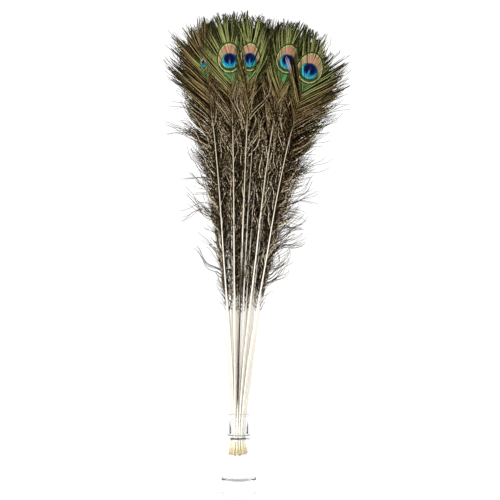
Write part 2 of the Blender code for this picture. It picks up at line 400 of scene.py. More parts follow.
def all_feathers():
    """Every feather, front layer first, with the same draws as the solids."""
    chance = random.Random(SOLIDS_SEED)
    made = []
    for row, (order, openings) in enumerate(ROWS):
        for place in order:
            made.append(Feather(len(made) + 1, row, place, openings[place], chance))
    return made


feathers = all_feathers()
print(len(feathers), "feathers, the highest tip at", round(max(f.tip for f in feathers), 3), "m")

# %% [markdown]
# ## The eyes
# On the real feather the eye isn't a piece of its own: it is where the barbs lie close and each one changes
# colour at the right distance along. So an eye here is only a place and a size on its feather. The five in
# front are set one by one, and the leftmost is turned so far that only a sliver shows. The windows say
# which part of them no other feather's barbs cross in front.

# %% The eyes
EYE_BELOW_TIP = (88.0 * MM, 104.0 * MM)
EYE_SCALES = (0.98, 1.18)
EYE_REACH = 31.0 * MM
WINDOW_HEIGHT = 36.0 * MM
FRONT_EYES = {  # number: height, shift to the right, scale, width, and the window's left, right and top
    1: (910.0 * MM, 0.5 * MM, 1.21, 1.05, -31 * MM, 36 * MM, WINDOW_HEIGHT),
    2: (932.0 * MM, -1.0 * MM, 1.10, 0.88, -24 * MM, 26 * MM, WINDOW_HEIGHT),
    3: (929.0 * MM, 4.5 * MM, 1.12, 1.0, -34 * MM, 14 * MM, WINDOW_HEIGHT),
    4: (931.5 * MM, -2.0 * MM, 1.15, 1.0, -31 * MM, 15 * MM, WINDOW_HEIGHT),
    6: (929.0 * MM, -1.5 * MM, 0.80, 0.19, -8 * MM, 7 * MM, 0 * MM),
}
HIDDEN_EYES = {5: 929.0 * MM, 7: 935.0 * MM, 8: 912.0 * MM, 9: 932.0 * MM}
BACK_WINDOWS = (31, 34, 35, 36, 37)


def place_eyes():
    """Gives every feather its eye's height, size and lean, and its window if nothing may cross it."""
    chance = np.random.default_rng(5)
    for feather in feathers:
        feather.eye_z = HIDDEN_EYES.get(feather.number, feather.tip - chance.uniform(*EYE_BELOW_TIP))
        feather.eye_scale = chance.uniform(*EYE_SCALES)
        feather.eye_width = 1.0
        feather.window, shift = None, 0.0
        if feather.number in FRONT_EYES:
            facts = FRONT_EYES[feather.number]
            feather.eye_z, shift, feather.eye_scale, feather.eye_width, *feather.window = facts
        elif feather.number in BACK_WINDOWS:
            feather.window = (-EYE_REACH, EYE_REACH, WINDOW_HEIGHT)
        feather.eye_x = float(feather.shaft_x(feather.eye_z)) + shift
        feather.eye_lean = float(feather.lean(feather.eye_z))


place_eyes()
for feather in feathers[:4]:
    print(feather.node, "eye at", round(feather.eye_x, 3), round(feather.eye_z, 3))

# %% [markdown]
# ## Mesh helper
# Numpy works out all points and faces as whole arrays, and foreach_set hands them to the mesh in one go.
# That is thousands of times faster than adding faces one by one, which counts with a million of them. Each
# feather also gets a flat map, on which every barb has a narrow strip of its own. So a picture of the
# finish can be laid out flat, with the tones running along each strip and no two barbs sharing a spot.


# %% Mesh helper
COLUMNS, STRIP_ENDS, STRIP_EDGES = 12, 0.01, 0.1
SHAFT_BAND, BAND_USED = 0.03, 0.9


class Shape:
    """Collects points, faces and the values that its points carry, from one or more parts."""

    def __init__(self):
        self.points, self.faces, self.flat, self.values = [], [], [], {}
        self.count = self.strips = 0

    def add(self, points, faces, **values):
        """points is (n, 3). faces is a list of (array with one row of corners a face, material number).

        A third entry is each corner's place on the flat map: its strip, how far along it and across it.
        """
        self.points.append(points)
        for corners, material, *flat in faces:
            self.faces.append((corners.reshape(-1, corners.shape[-1]) + self.count, material))
            self.flat += [part.reshape(-1, 3) for part in flat]
        for name, value in values.items():
            self.values.setdefault(name, []).append(value)
        self.count += len(points)

    def flat_places(self):
        """Every corner's place on the map: rows of COLUMNS strips, above a band for the shaft, strip -1."""
        strip, along, across = np.concatenate(self.flat).T
        rows = -(-self.strips // COLUMNS)
        u = (strip % COLUMNS + STRIP_ENDS + (1 - 2 * STRIP_ENDS) * along) / COLUMNS
        high = strip // COLUMNS + STRIP_EDGES + (1 - 2 * STRIP_EDGES) * across
        v = SHAFT_BAND + (1 - SHAFT_BAND) * high / rows
        return np.where(strip < 0, [along, BAND_USED * SHAFT_BAND * across], [u, v]).T

    def piece(self, name, materials, slot, replaced):
        """The finished object, riding on the one body in place of its solid."""
        mesh = bpy.data.meshes.new(name)
        corners = np.concatenate([rows.ravel() for rows, _ in self.faces]).astype(np.int32)
        sizes = np.concatenate([np.full(len(rows), rows.shape[1]) for rows, _ in self.faces])
        numbers = np.concatenate([np.full(len(rows), number) for rows, number in self.faces])
        mesh.vertices.add(self.count)
        mesh.vertices.foreach_set("co", np.concatenate(self.points).astype(np.float32).ravel())
        mesh.loops.add(len(corners))
        mesh.loops.foreach_set("vertex_index", corners)
        mesh.polygons.add(len(sizes))
        mesh.polygons.foreach_set("loop_start", (np.cumsum(sizes) - sizes).astype(np.int32))
        mesh.polygons.foreach_set("material_index", numbers.astype(np.int32))
        if self.flat:
            flat_map = mesh.uv_layers.new(name="OFBake")
            flat_map.uv.foreach_set("vector", self.flat_places().astype(np.float32).ravel())
        for label, parts in self.values.items():
            held = mesh.attributes.new(label, "FLOAT_VECTOR", "POINT")
            held.data.foreach_set("vector", np.concatenate(parts).astype(np.float32).ravel())
        for material in materials:
            mesh.materials.append(material)
        mesh.update(calc_edges=True)
        mesh.shade_smooth()
        piece = bpy.data.objects.new(name, mesh)
        bpy.context.scene.collection.objects.link(piece)
        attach(piece, "root")
        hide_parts(replaced)
        return piece


print("mesh helper ready")

# %% [markdown]
# ## A tube along a path
# A shaft, a thread and a wisp are all a round section carried along a line. At each point the section
# stands square to the line: with t the line's direction and r a fixed reference, one axis is t x r and the
# other is what is square to both.


# %% A tube along a path
def unit(vectors):
    """Each vector at length 1."""
    return vectors / np.maximum(np.linalg.norm(vectors, axis=-1, keepdims=True), 1e-12)


def grid_quads(rows, sides):
    """Faces of an open tube of rows rings with sides corners each: an array (rows - 1, sides, 4)."""
    ring = np.arange(sides)
    after = (ring + 1) % sides
    low = np.arange(rows - 1)[:, None] * sides
    return np.stack([low + ring, low + after, low + sides + after, low + sides + ring], -1)


def tube(path, radii, sides, reference, along=None):
    """Points path + radius * (cos(a) * u + sin(a) * v) round each path point, u and v square to the path.

    The path's own directions are used where along isn't given. Each end is closed with one flat face.
    """
    if along is None:
        along = unit(np.gradient(path, axis=0))
    u = unit(np.cross(along, reference))
    v = np.cross(along, u)
    turn = np.linspace(0.0, 2 * np.pi, sides, endpoint=False)[None, :, None]
    spread = np.cos(turn) * u[:, None] + np.sin(turn) * v[:, None]
    points = (path[:, None] + radii[:, None, None] * spread).reshape(-1, 3)
    last = (len(path) - 1) * sides
    ring = np.arange(sides)
    return points, [grid_quads(len(path), sides), ring[::-1][None], last + ring[None]]


print("a test tube has", len(tube(np.zeros((4, 3)), np.ones(4), 6, (0, 1, 0))[0]), "points")

# %% [markdown]
# ## Shafts
# The shaft, or rachis, is a hollow horn quill at its cut end and tapers to a hair inside the eye. It is
# pale cream, and browner near the eye. Its cut end is open, so the tube's first rings turn inwards and back
# up the hole before they close.

# %% Shafts
SHAFT_HEIGHTS = (0.0, 0.18, 0.43, 0.65, 0.90, 1.10)
SHAFT_WIDTHS = (4.0 * MM, 4.0 * MM, 3.2 * MM, 2.4 * MM, 1.4 * MM, 0.8 * MM)
SHAFT_SIDES = 10
SHAFT_RINGS = 44
HOLE_SHARE = 0.62
HOLE_HEIGHTS = (5.0 * MM, 2.5 * MM, 0.0)


def shaft_width(z):
    """A shaft's width at z, read between the table's heights."""
    return np.interp(z, SHAFT_HEIGHTS, SHAFT_WIDTHS)


def unrolled(rows, sides, strips):
    """A tube's faces laid flat, once a strip: each corner's strip, and how far along and across it is."""
    along = (np.arange(rows - 1)[:, None, None] + [0, 0, 1, 1]) / (rows - 1)
    across = (np.arange(sides)[:, None] + [0, 1, 1, 0]) / sides
    return np.stack(np.broadcast_arrays(np.reshape(strips, (-1, 1, 1, 1)), along, across), -1)


def shaft_points(feather, z):
    """The shaft's middle line at heights z."""
    x = feather.shaft_x(z)
    return np.stack([x, feather.layer_y(x, z), z], -1)


def add_shaft(shape, feather, dark_stripe):
    """A tube along the shaft's line, its radius half of shaft_width(z), with a hole up its cut end.

    The hole's rings come first, and point the way of the lowest outer ring.
    """
    z = np.linspace(feather.cut, feather.shaft_end, SHAFT_RINGS)
    heights = np.concatenate([np.array(HOLE_HEIGHTS) + feather.cut, z])
    inside = len(HOLE_HEIGHTS)
    radii = shaft_width(heights) / 2
    radii[:inside] *= HOLE_SHARE
    along = unit(np.gradient(shaft_points(feather, z), axis=0))
    along = np.concatenate([np.repeat(along[:1], inside, axis=0), along])
    points, (walls, first, last) = tube(
        shaft_points(feather, heights), radii, SHAFT_SIDES, (0.0, 1.0, 0.0), along)
    flat = unrolled(len(heights), SHAFT_SIDES, [-1])
    faces = [(walls, 0, flat), (first, 0, flat[0, 0, :, 0]), (last, 0, flat[0, -1, :, 3])]
    share = (heights - LOWEST_BARB) / (feather.shaft_end - LOWEST_BARB)
    around = np.linspace(0.0, 2 * np.pi, SHAFT_SIDES, endpoint=False)
    front = np.tile(np.sin(around), len(heights))
    facts = np.stack([np.repeat(share, SHAFT_SIDES), front, np.full(len(points), dark_stripe)], -1)
    shape.add(points, faces, place=facts, strand=np.zeros_like(points))


print("shafts:", SHAFT_SIDES, "sides,", SHAFT_RINGS, "rings")

# %% [markdown]
# ## Barbs as ribbons
# A barb is a thin flexible rib with a fringe of tiny barbules on both sides, so from a step away it is a
# ribbon. A flat strip would vanish when seen from its edge and isn't a closed mesh. Each barb is therefore
# a slim three-sided prism: two edges and a low ridge on its bright side. One array operation makes all of a
# feather's barbs at once.

# %% Barbs as ribbons
RIDGE_HEIGHT = 0.2
CORNERS = 3
BRIGHT_SIDE, DULL_SIDE = 1, 2


def ribbons(paths, facing, widths, twists, strips):
    """Prisms along many paths of equal length: their points and faces, with a strip each on the map.

    At each point w = t x n is the ribbon's sideways axis, for its direction t and its normal n, which is
    the feather's bright side turned by the twist. The corners are path +- w * width / 2, path + n * ridge.
    """
    count, steps = paths.shape[:2]
    along = unit(np.gradient(paths, axis=1))
    out = np.zeros_like(along)
    out[..., 1] = facing
    side = unit(np.cross(along, out))
    out = np.cross(side, along)
    turned = np.cos(twists)[..., None] * out + np.sin(twists)[..., None] * side
    side = np.cross(along, turned)
    half = widths[..., None] / 2
    ridge = paths + turned * half * 2 * RIDGE_HEIGHT
    points = np.stack([paths + side * half, paths - side * half, ridge], 2)
    start = np.arange(count) * steps * CORNERS
    end = start + (steps - 1) * CORNERS
    quads = start[:, None, None, None] + grid_quads(steps, CORNERS)
    flat = unrolled(steps, CORNERS, strips)
    low, high = (start, start + 2, start + 1), (end, end + 1, end + 2)
    caps = np.concatenate([np.stack(low, -1), np.stack(high, -1)])
    flat_caps = np.concatenate([flat[:, 0, 0, [0, 1, 2]], flat[:, -1, 0, [3, 2, 1]]])
    return points.reshape(-1, 3), [
        (quads[:, :, 0], DULL_SIDE, flat[:, :, 0]),
        (quads[:, :, 1:], BRIGHT_SIDE, flat[:, :, 1:]),
        (caps, BRIGHT_SIDE, flat_caps),
    ]


print("a barb of 6 steps has", 6 * CORNERS * 2 + 2, "triangles")

# %% [markdown]
# ## Where the barbs go
# The tables are the solids' own: from the lowest barb to the shaft's end, how long a barb is and how far it
# leans from the shaft. A vane has three zones that look different on the real feather: loose barbs along
# most of the shaft, close ones below the eye, and the closest round the eye. A fourth zone adds the few
# barbs that fan out at the very tip.
#
# A zone's numbers are its ends as shares of the vane, its pairs of barbs, their steps and width, and how
# many barbs make a lock, a strand and a crest. Then come the degrees by which they lean, bend, wave, curl
# and twist, how much and how late they gather, and how far they drift in depth. The ramp is a power that
# sets them closer together at one end.

# %% Where the barbs go
BARB_SHARES = (0.0, 0.2, 0.4, 0.55, 0.7, 0.8, 0.88, 0.95, 1.0)
BARB_LENGTHS = tuple(MM * length for length in (35, 48, 66, 90, 112, 122, 112, 94, 74))
BARB_ANGLES = (12.0, 20.0, 31.0, 41.0, 46.0, 46.0, 36.0, 21.0, 5.0)
LOOSE = {
    "from": 0.0, "to": 0.79, "pairs": 206, "steps": 6, "width": 1.1 * MM, "ramp": 0.9,
    "lock": 11, "strand": 3, "crest": 1, "lock_lean": 8.0, "lean": 3.5, "bend": 14.0, "bend_varies": 22.0,
    "wave": 16.0, "gather": 0.70, "late": 1.3, "curl": 30.0, "twist": 25.0, "drift": 3.0 * MM,
}
CLOSE = {
    "from": 0.79, "to": 0.88, "pairs": 92, "steps": 5, "width": 1.15 * MM, "ramp": 1.0,
    "lock": 24, "strand": 6, "crest": 2, "lock_lean": 4.0, "lean": 4.5, "bend": 22.0, "bend_varies": 15.0,
    "wave": 9.0, "gather": 0.90, "late": 0.9, "curl": 25.0, "twist": 14.0, "drift": 1.2 * MM,
}
EYE = {
    **CLOSE, "from": 0.88, "to": 1.0, "pairs": 120, "lock": 21, "strand": 7,
    "lean": 3.0, "bend_varies": 9.0, "wave": 6.0, "late": 2.2, "curl": 32.0, "drift": 0.8 * MM,
}
CROWN = {**EYE, "from": 0.985, "pairs": 14, "strand": 3, "lean": 24.0, "bend": 4.0}
print("barbs in the zones of one feather:", [2 * zone["pairs"] for zone in (LOOSE, CLOSE, EYE, CROWN)])

# %% [markdown]
# ## Strands and locks
# Tiny hooks hold a real barb to its neighbours, so a few of them stick together as a strand, and a few
# strands hang together as a lock. A zone's barbs are therefore cut into uneven bundles, and what a bundle
# has in common is drawn once for all of it. The first barbs of a strand lie on top as its crest, and their
# tone is painted light, as if they caught it; the others are painted nearly black, as the shade between
# strands.

# %% Strands and locks
MOST_DRIFT, OWN_DRIFT = 9.0 * MM, 0.2 * MM
DEEPER = 5.0


class Barbs:
    """Arrays with one entry a barb, such as its side, its share up the vane, its length and its tone."""

    marked = True
    over_eyes = False
    lock_middle = None
    late = 1.5
    sinks = np.zeros(1)

    def __init__(self, **facts):
        self.__dict__.update(facts)

    def finish(self, feather, chance, style):
        """Adds what every barb has: its root's height, its drift in depth and its twist."""
        count = len(self.side)
        self.root_z = LOWEST_BARB + (feather.shaft_end - LOWEST_BARB) * self.share
        flat = feather.window is not None or feather.number in HIDDEN_EYES
        spread = style["drift"] * (1.0 if flat else DEEPER)
        drift = chance.normal(0, spread, count)[self.middle] + chance.normal(0, OWN_DRIFT, count)
        self.drift = MOST_DRIFT * np.tanh(drift / MOST_DRIFT)
        self.twist = np.radians(chance.normal(0, style["twist"], count))
        return self


def bundles(chance, line, pairs, size):
    """Uneven bundles of about size neighbours, none of them across the shaft.

    For each barb the answer holds its bundle's number, that bundle's first barb and the one after its last.
    """
    cuts = np.cumsum(chance.integers(max(size * 2 // 3, 1), size * 4 // 3 + 2, 4 * pairs // size + 4))
    cuts = np.unique(np.concatenate([[0, pairs, 2 * pairs], cuts[cuts < 2 * pairs]]))
    bundle = np.searchsorted(cuts, line, side="right") - 1
    return bundle, cuts[bundle], cuts[bundle + 1]


def shared(bundle, draw, *limits):
    """One random draw for each bundle, handed to all of its barbs."""
    return draw(*limits, bundle.max() + 1)[bundle]


test = bundles(np.random.default_rng(0), np.arange(40), 20, 5)[0]
print("40 barbs fall into bundles of", np.bincount(test).tolist())

# %% [markdown]
# ## How a barb lies
# Four things say how a barb lies: its angle, its length, how it bows and its tone. In the bunch, a feather
# at the edge has room on its outer side, so its barbs spread there and their tips are ragged, while
# everything between two feathers is pressed upright.

# %% How a barb lies
OUTER_FRONT, OUTER_BACK = 10, 28
EDGE_FROM = 0.9
MIDDLE_STEEPER, INNER_STEEPER, INNER_GAIN = 0.25, 0.40, 1.2
LEFT_EDGE_SPREAD, LOW_SPREAD = 0.94, 0.40
SPREADS = {1: (0.62, 1.0), 2: (0.42, 0.50), 3: (0.60, 0.45), 4: (0.92, 0.42), 6: (0.84, 0.50)}
RAGGED, EVEN, GAPS_SHORTER, LEFT_LONGER = (0.55, 1.13), (0.98, 0.06), 0.76, 1.02
OWN_LENGTH, LENGTH_LIMITS = 0.04, (0.6, 1.04)
PHASE_VARIES, STRAND_BEND, WAVES = 0.10, 9.0, 1.3
# Painted light and shade: a crest's lit tones and how rarely it is brightest, the nearly black tones painted
# in a gap as the shade between strands, and the painted light that lifts gaps low on the feather.
LIT_CREST_TONES, CREST_RARE, SHADED_GAP_TONES, LOW_LIGHT = (0.36, 0.84), 1.4, (0.0, 0.08), 0.15
# Painted shade deep in the bunch: the share of a crest's tone kept on the inner feathers, on those at the
# bunch's edge and on the feathers with hidden eyes, and how much of that shade eases off towards the tip.
DEEP_SHADE_SHARE, DEEP_EDGE_SHADE, HIDDEN_SHADE_SHARE, DEEP_SHADE_EASES = 0.55, 0.7, 0.75, 0.7


def barb_spreads(feather, side, outer, share):
    """The share of the table's angle that a barb keeps: less where neighbours press it, all at the tip."""
    inward = np.clip(-INNER_GAIN * side * feather.opening, 0.0, 1.0)
    spread = 1.0 - MIDDLE_STEEPER * (1.0 - abs(feather.opening)) - INNER_STEEPER * inward
    spread = np.where((side < 0) & (feather.opening < -EDGE_FROM), LEFT_EDGE_SPREAD, spread)
    if feather.number in SPREADS:
        left, right = SPREADS[feather.number]
        spread = np.where(side > 0, right, left)
    spread = spread + (1.0 - spread) * ease(share, 0.90, 0.98)
    held = np.where(outer, 1.0, LOW_SPREAD)
    return spread * (held + (1.0 - held) * ease(share, 0.35, 0.88))


def barb_lengths(feather, chance, strand, crest, outer, share):
    """The table's length, ragged from strand to strand at the bunch's edge and nearly even inside it."""
    length = feather.fullness * np.interp(share, BARB_SHARES, BARB_LENGTHS)
    ragged, even = shared(strand, chance.uniform, *RAGGED), shared(strand, chance.normal, *EVEN)
    length = length * np.where(outer, ragged, even)
    length = length * np.where(outer & ~crest, GAPS_SHORTER, 1.0)
    length = length * np.clip(chance.normal(1.0, OWN_LENGTH, len(share)), *LENGTH_LIMITS)
    return length * (LEFT_LONGER if feather.opening < -EDGE_FROM else 1.0)


def barb_bows(chance, style, strand, lock):
    """A barb turns by bend * (0.5 - t) + wave * sin(2 pi (WAVES * t + phase)) at t, plus a late curl."""
    phase = shared(lock, chance.uniform, 0, 1)
    phase = phase + shared(strand, chance.normal, 0, PHASE_VARIES)
    bend = shared(lock, chance.normal, style["bend"], style["bend_varies"])
    bend = bend + shared(strand, chance.normal, 0, STRAND_BEND)
    t = (np.arange(style["steps"]) + 0.5) / style["steps"]
    wave = style["wave"] * np.sin(2 * np.pi * (WAVES * t + phase[:, None]))
    wave = wave + shared(strand, chance.normal, 0, style["curl"])[:, None] * ease(t, 0.6, 1.0)
    return bend[:, None] * (0.5 - t) + wave


def barb_tones(feather, chance, strand, crest, share):
    """Painted light and shade: lit tones for a strand's crest, nearly black ones in its gap, darker deep in
    the bunch.
    """
    tone = LIT_CREST_TONES[0] + LIT_CREST_TONES[1] * shared(strand, chance.uniform, 0, 1) ** CREST_RARE
    # Painted shade: crests deep in the bunch keep only part of their tone.
    deep = HIDDEN_SHADE_SHARE if feather.number in HIDDEN_EYES else 1.0
    if OUTER_FRONT <= feather.number < OUTER_BACK:
        deep = DEEP_SHADE_SHARE if abs(feather.opening) < EDGE_FROM else DEEP_EDGE_SHADE
    eased = ease(share, 0.35, 0.70) * (1.0 - DEEP_SHADE_EASES * ease(share, 0.88, 0.96))
    tone = tone * (1.0 - (1.0 - deep) * eased)
    # Painted shade in the gaps, a little lighter low on the feather.
    gap = chance.uniform(*SHADED_GAP_TONES, len(share))
    gap = gap + LOW_LIGHT * chance.uniform(0, 1, len(share)) * (1.0 - ease(share, 0.35, 0.75))
    return np.where(crest, tone, gap)


print("the longest barb is", round(1000 * FULLEST * max(BARB_LENGTHS) * LENGTH_LIMITS[1]), "mm")

# %% [markdown]
# ## Laying the barbs
# All barbs of a zone now get their numbers, in pairs, one to each side of the shaft. Near the eye they lie
# calmer than below it, and at the bunch's upper corners they stand out wider and longer.

# %% Laying the barbs
CALM_FROM, CALM_AT = 0.50, 0.80
CALM_EDGE, CALM_MIDDLE, CALM_SPLIT = 0.65, 0.3, 0.4
CORNER_WIDER, CORNER_LONGER = 9.0, 0.08
OWN_TONE, OWN_WIDTH = 0.04, (0.8, 1.2)
CREST_WIDER, GAP_NARROWER, GAP_SINKS = 1.15, 0.95, 1.5 * MM
GATHER_VARIES = (0.85, 1.1)


def lay_barbs(feather, chance, style, low, thinned):
    """One feather's barbs from a share of its shaft to the end of the style's zone, in pairs.

    A barb leans from the shaft by the table's angle * spread + its lean, and bows round that.
    """
    pairs = int(style["pairs"] * thinned)
    order = np.arange(2 * pairs)
    pair, right = order // 2, order % 2
    line = pair + right * pairs
    strand, first, after = bundles(chance, line, pairs, style["strand"])
    lock, lock_first, lock_after = bundles(chance, line, pairs, style["lock"])

    def barb_at(line):
        """The number of the barb at a place in the line, which has the left side's barbs first."""
        return line % pairs * 2 + line // pairs

    share = (pair + chance.uniform(0, 1, len(order))) / pairs
    share = low + (style["to"] - low) * share ** style["ramp"]
    side = np.where(right, 1.0, -1.0)
    outer = side * feather.opening > EDGE_FROM
    crest = line - first < style["crest"]
    calmer = CALM_EDGE if abs(feather.opening) > CALM_SPLIT else CALM_MIDDLE
    calm = 1.0 - calmer * ease(share, CALM_FROM, CALM_AT)
    lean = shared(lock, chance.normal, 0, style["lock_lean"])
    lean = lean + shared(strand, chance.normal, 0, style["lean"])
    spread = barb_spreads(feather, side, outer, share)
    corner = outer * ease(share, 0.78, 0.88) * (1.0 - ease(share, 0.95, 1.0))
    angle = spread * np.interp(share, BARB_SHARES, BARB_ANGLES) + calm * lean + CORNER_WIDER * corner
    length = barb_lengths(feather, chance, strand, crest, outer, share) * (1.0 + CORNER_LONGER * corner)
    bow = barb_bows(chance, style, strand, lock)
    tone = barb_tones(feather, chance, strand, crest, share)
    tone = np.clip(tone + chance.normal(0, OWN_TONE, len(order)), 0, 1)
    width = style["width"] * chance.uniform(*OWN_WIDTH, len(order))
    barbs = Barbs(
        side=side, share=share, length=length, turn=angle[:, None] + calm[:, None] * bow,
        tone=tone, width=width * np.where(crest, CREST_WIDER, GAP_NARROWER),
        middle=barb_at(np.minimum(first + style["crest"] // 2, after - 1)),
        gather=style["gather"] * crest * shared(strand, chance.uniform, *GATHER_VARIES),
        late=style["late"], sinks=GAP_SINKS * ~crest,
        lock_middle=barb_at((lock_first + lock_after) // 2),
    )
    return barbs.finish(feather, chance, style)


test = lay_barbs(feathers[0], np.random.default_rng(0), CLOSE, CLOSE["from"], 1.0)
print("close barbs of one feather:", len(test.side), "from", round(float(test.root_z.min()), 3), "m")

# %% [markdown]
# ## Walking the barbs
# A barb is a chain of short steps, each turned a little from the one before, and its points are their sums.
# At the end each barb is drawn to the middle of its strand and each strand to its lock, which leaves
# pointed tufts.

# %% Walking the barbs
LOCK_GATHER = 0.45


def walk(feather, barbs):
    """Adds up the barbs' steps, then gathers them: x + gather * t^late * (x of the middle barb - x)."""
    steps = barbs.turn.shape[1]
    way = feather.lean(barbs.root_z)[:, None] + barbs.side[:, None] * np.radians(barbs.turn)
    step = barbs.length[:, None] / steps
    root_x, root_z = feather.shaft_x(barbs.root_z)[:, None], barbs.root_z[:, None]
    x = np.concatenate([root_x, root_x + np.cumsum(step * np.sin(way), axis=1)], axis=1)
    z = np.concatenate([root_z, root_z + np.cumsum(step * np.cos(way), axis=1)], axis=1)
    t = np.linspace(0.0, 1.0, steps + 1)
    pull = barbs.gather[:, None] * t**barbs.late
    x, z = x + pull * (x[barbs.middle] - x), z + pull * (z[barbs.middle] - z)
    if barbs.lock_middle is None:
        return x, z
    pull = LOCK_GATHER * t**4
    return x + pull * (x[barbs.lock_middle] - x), z + pull * (z[barbs.lock_middle] - z)


print("their highest tip is at", round(float(walk(feathers[0], test)[1].max()), 3), "m")

# %% [markdown]
# ## Slipping behind an eye
# In the bunch the barbs of one feather slip behind the neighbour's eye, because the eye is the densest
# part. A barb that would cross a window from in front is led back behind that eye's layer before it gets
# there.

# %% Slipping behind an eye
SLIP_DEPTH = 3.5 * MM
FINE = 31
COVERED_RIGHT, COVER_EDGE = (3, 4, 6), 5.0 * MM
SLIPS_BEFORE, SHORTEST = 0.12, 0.3


def along_path(values, t):
    """Values of a path's points, read at shares t along it."""
    place = t * (values.shape[1] - 1)
    low = np.minimum(place.astype(int), values.shape[1] - 2)
    rows = np.arange(len(values))[:, None]
    return values[rows, low] + (place - low) * (values[rows, low + 1] - values[rows, low])


def meet_windows(feather, barbs, x, y, z):
    """Leads barbs behind the windows that they cross from in front: (y, share of each barb that is kept).

    From an open side a barb slips behind from its root on, y + (behind - y) * ease(t). At a covered side it
    ends, so that it still hides what lies outside the window.
    """
    count, steps = x.shape
    t = np.linspace(0.0, 1.0, steps)[None, :]
    fine = np.linspace(0.0, 1.0, FINE)[None, :] * np.ones((count, 1))
    kept = np.ones(count)
    fine_x, fine_z = along_path(x, fine), along_path(z, fine)
    for other in feathers:
        ahead = (other.layer - feather.layer) * -other.facing > 0
        if other.window is None or not ahead:
            continue
        left, right, top = other.window
        above = fine_z - other.eye_z
        off = fine_x - other.eye_x - above * math.tan(other.eye_lean)
        inside = (off > left) & (off < right) & (above > -WINDOW_HEIGHT) & (above < top)
        meets = inside.any(axis=1) & (not barbs.over_eyes)
        first = np.argmax(inside, axis=1)
        ends = meets & (right - off[np.arange(count), first] < COVER_EDGE) & (other.number in COVERED_RIGHT)
        kept = np.where(ends, np.minimum(kept, np.maximum(first / (FINE - 1), SHORTEST)), kept)
        ready = np.maximum(first / (FINE - 1) - SLIPS_BEFORE, SLIPS_BEFORE)[:, None]
        behind = other.layer_y(x, z) - other.facing * SLIP_DEPTH
        led = y + (behind - y) * ease(t / ready, 0.0, 1.0)
        deeper = (led - y) * -other.facing > 0
        y = np.where((meets & ~ends)[:, None] & deeper, led, y)
    return y, kept


print("windows:", sum(feather.window is not None for feather in feathers))

# %% [markdown]
# ## Bare quills in front
# At the front of the bunch the quills stand bare over the dark barbs, because most low barbs of the front
# feathers have slipped behind them. No barb may reach far out of the box that the solids fill, so one that
# would is cut short.

# %% Bare quills in front
BARE_STEMS = 15
BEHIND_LAYER, BEHIND_BUNDLE = -0.19, -0.14
IN_FRONT_FROM, IN_FRONT_AT = 600.0 * MM, 830.0 * MM
FEW_IN_FRONT = 0.20
EDGE_ROOM = 8.0 * MM


def behind_stems(feather, chance, barbs, x, y, z):
    """The barbs' depths, with the front feathers' low barbs led behind the quills, so that quills show."""
    if feather.number > BARE_STEMS:
        return y
    stays = FEW_IN_FRONT + ease(barbs.root_z, IN_FRONT_FROM, IN_FRONT_AT)
    leaves = chance.uniform(0, 1, len(y)) > stays
    t = np.linspace(0.0, 1.0, y.shape[1])[None, :]
    target = np.maximum(depth(x, z, BEHIND_BUNDLE, BEHIND_LAYER), y)
    return np.where(leaves[:, None], y + (target - y) * ease(t, 0.0, 0.3), y)


def inside_frame(x, y, z):
    """The share of each barb that stays within EDGE_ROOM of the solids' box."""
    outside = (x < cad_low.x - EDGE_ROOM) | (x > cad_high.x + EDGE_ROOM) | (z > cad_high.z + EDGE_ROOM)
    outside |= (y < cad_low.y - EDGE_ROOM) | (y > cad_high.y + EDGE_ROOM)
    first = np.argmax(outside, axis=1) / (x.shape[1] - 1)
    return np.where(outside.any(axis=1), np.maximum(first - 1 / (x.shape[1] - 1), SHORTEST), 1.0)


behind = 1000 * float(depth(0.0, IN_FRONT_FROM, BEHIND_BUNDLE, BEHIND_LAYER))
print("the front feathers' low barbs lie at y =", round(behind, 1), "mm")

# %% [markdown]
# ## A feather's vane
# A barb's path becomes a ribbon in the feather's own layer of the bunch. Each point carries its place on
# the feather, measured from the eye in millimetres of the eye's own scale, and each barb a tone and a
# random number. The finish reads these and paints the eye across all barbs alike.

# %% A feather's vane
TIP_WIDTH_SHARE, ROOT_WIDTH_SHARE = 0.45, 0.55
ROOT_BEHIND, ROOT_IN_FRONT = 0.9 * MM, 1.2 * MM
UNMARKED = 0.3
RIM_REACH = 24.0
TURNED_BELOW, TURNED_FROM, TURNED_CROWN = 0.5, 8.0, 6.0


def add_barbs(shape, feather, chance, barbs):
    """Adds ribbons along the walked paths, in the feather's layer and out of the eyes' way."""
    x, z = walk(feather, barbs)
    t = np.linspace(0.0, 1.0, x.shape[1])[None, :]
    root = -ROOT_BEHIND + (ROOT_BEHIND + ROOT_IN_FRONT) * ease(barbs.share, 0.55, 0.8)
    y = feather.layer_y(x, z) + feather.facing * root[:, None] + barbs.drift[:, None] * t**1.5
    y = y - math.copysign(1.0, feather.layer) * barbs.sinks[:, None] * ease(t, 0.0, 0.3)
    y = behind_stems(feather, chance, barbs, x, y, z)
    y, kept = meet_windows(feather, barbs, x, y, z)
    kept = np.minimum(kept, inside_frame(x, y, z))
    cut = t * kept[:, None]
    x, y, z = along_path(x, cut), along_path(y, cut), along_path(z, cut)
    narrows = 1.0 - (1.0 - TIP_WIDTH_SHARE) * t**2.5
    widens = ROOT_WIDTH_SHARE + (1.0 - ROOT_WIDTH_SHARE) * ease(t, 0.0, 0.25)
    widths = barbs.width[:, None] * narrows * widens
    strips = shape.strips + np.arange(len(x))
    shape.strips += len(x)
    twists = barbs.twist[:, None] * (0.4 + 0.6 * t)
    points, faces = ribbons(np.stack([x, y, z], -1), feather.facing, widths, twists, strips)
    strand = corner_facts(t * np.ones_like(x), barbs.tone, chance.uniform(0, 1, len(x)))
    shape.add(points, faces, place=place_on_feather(feather, barbs, x, z), strand=strand)


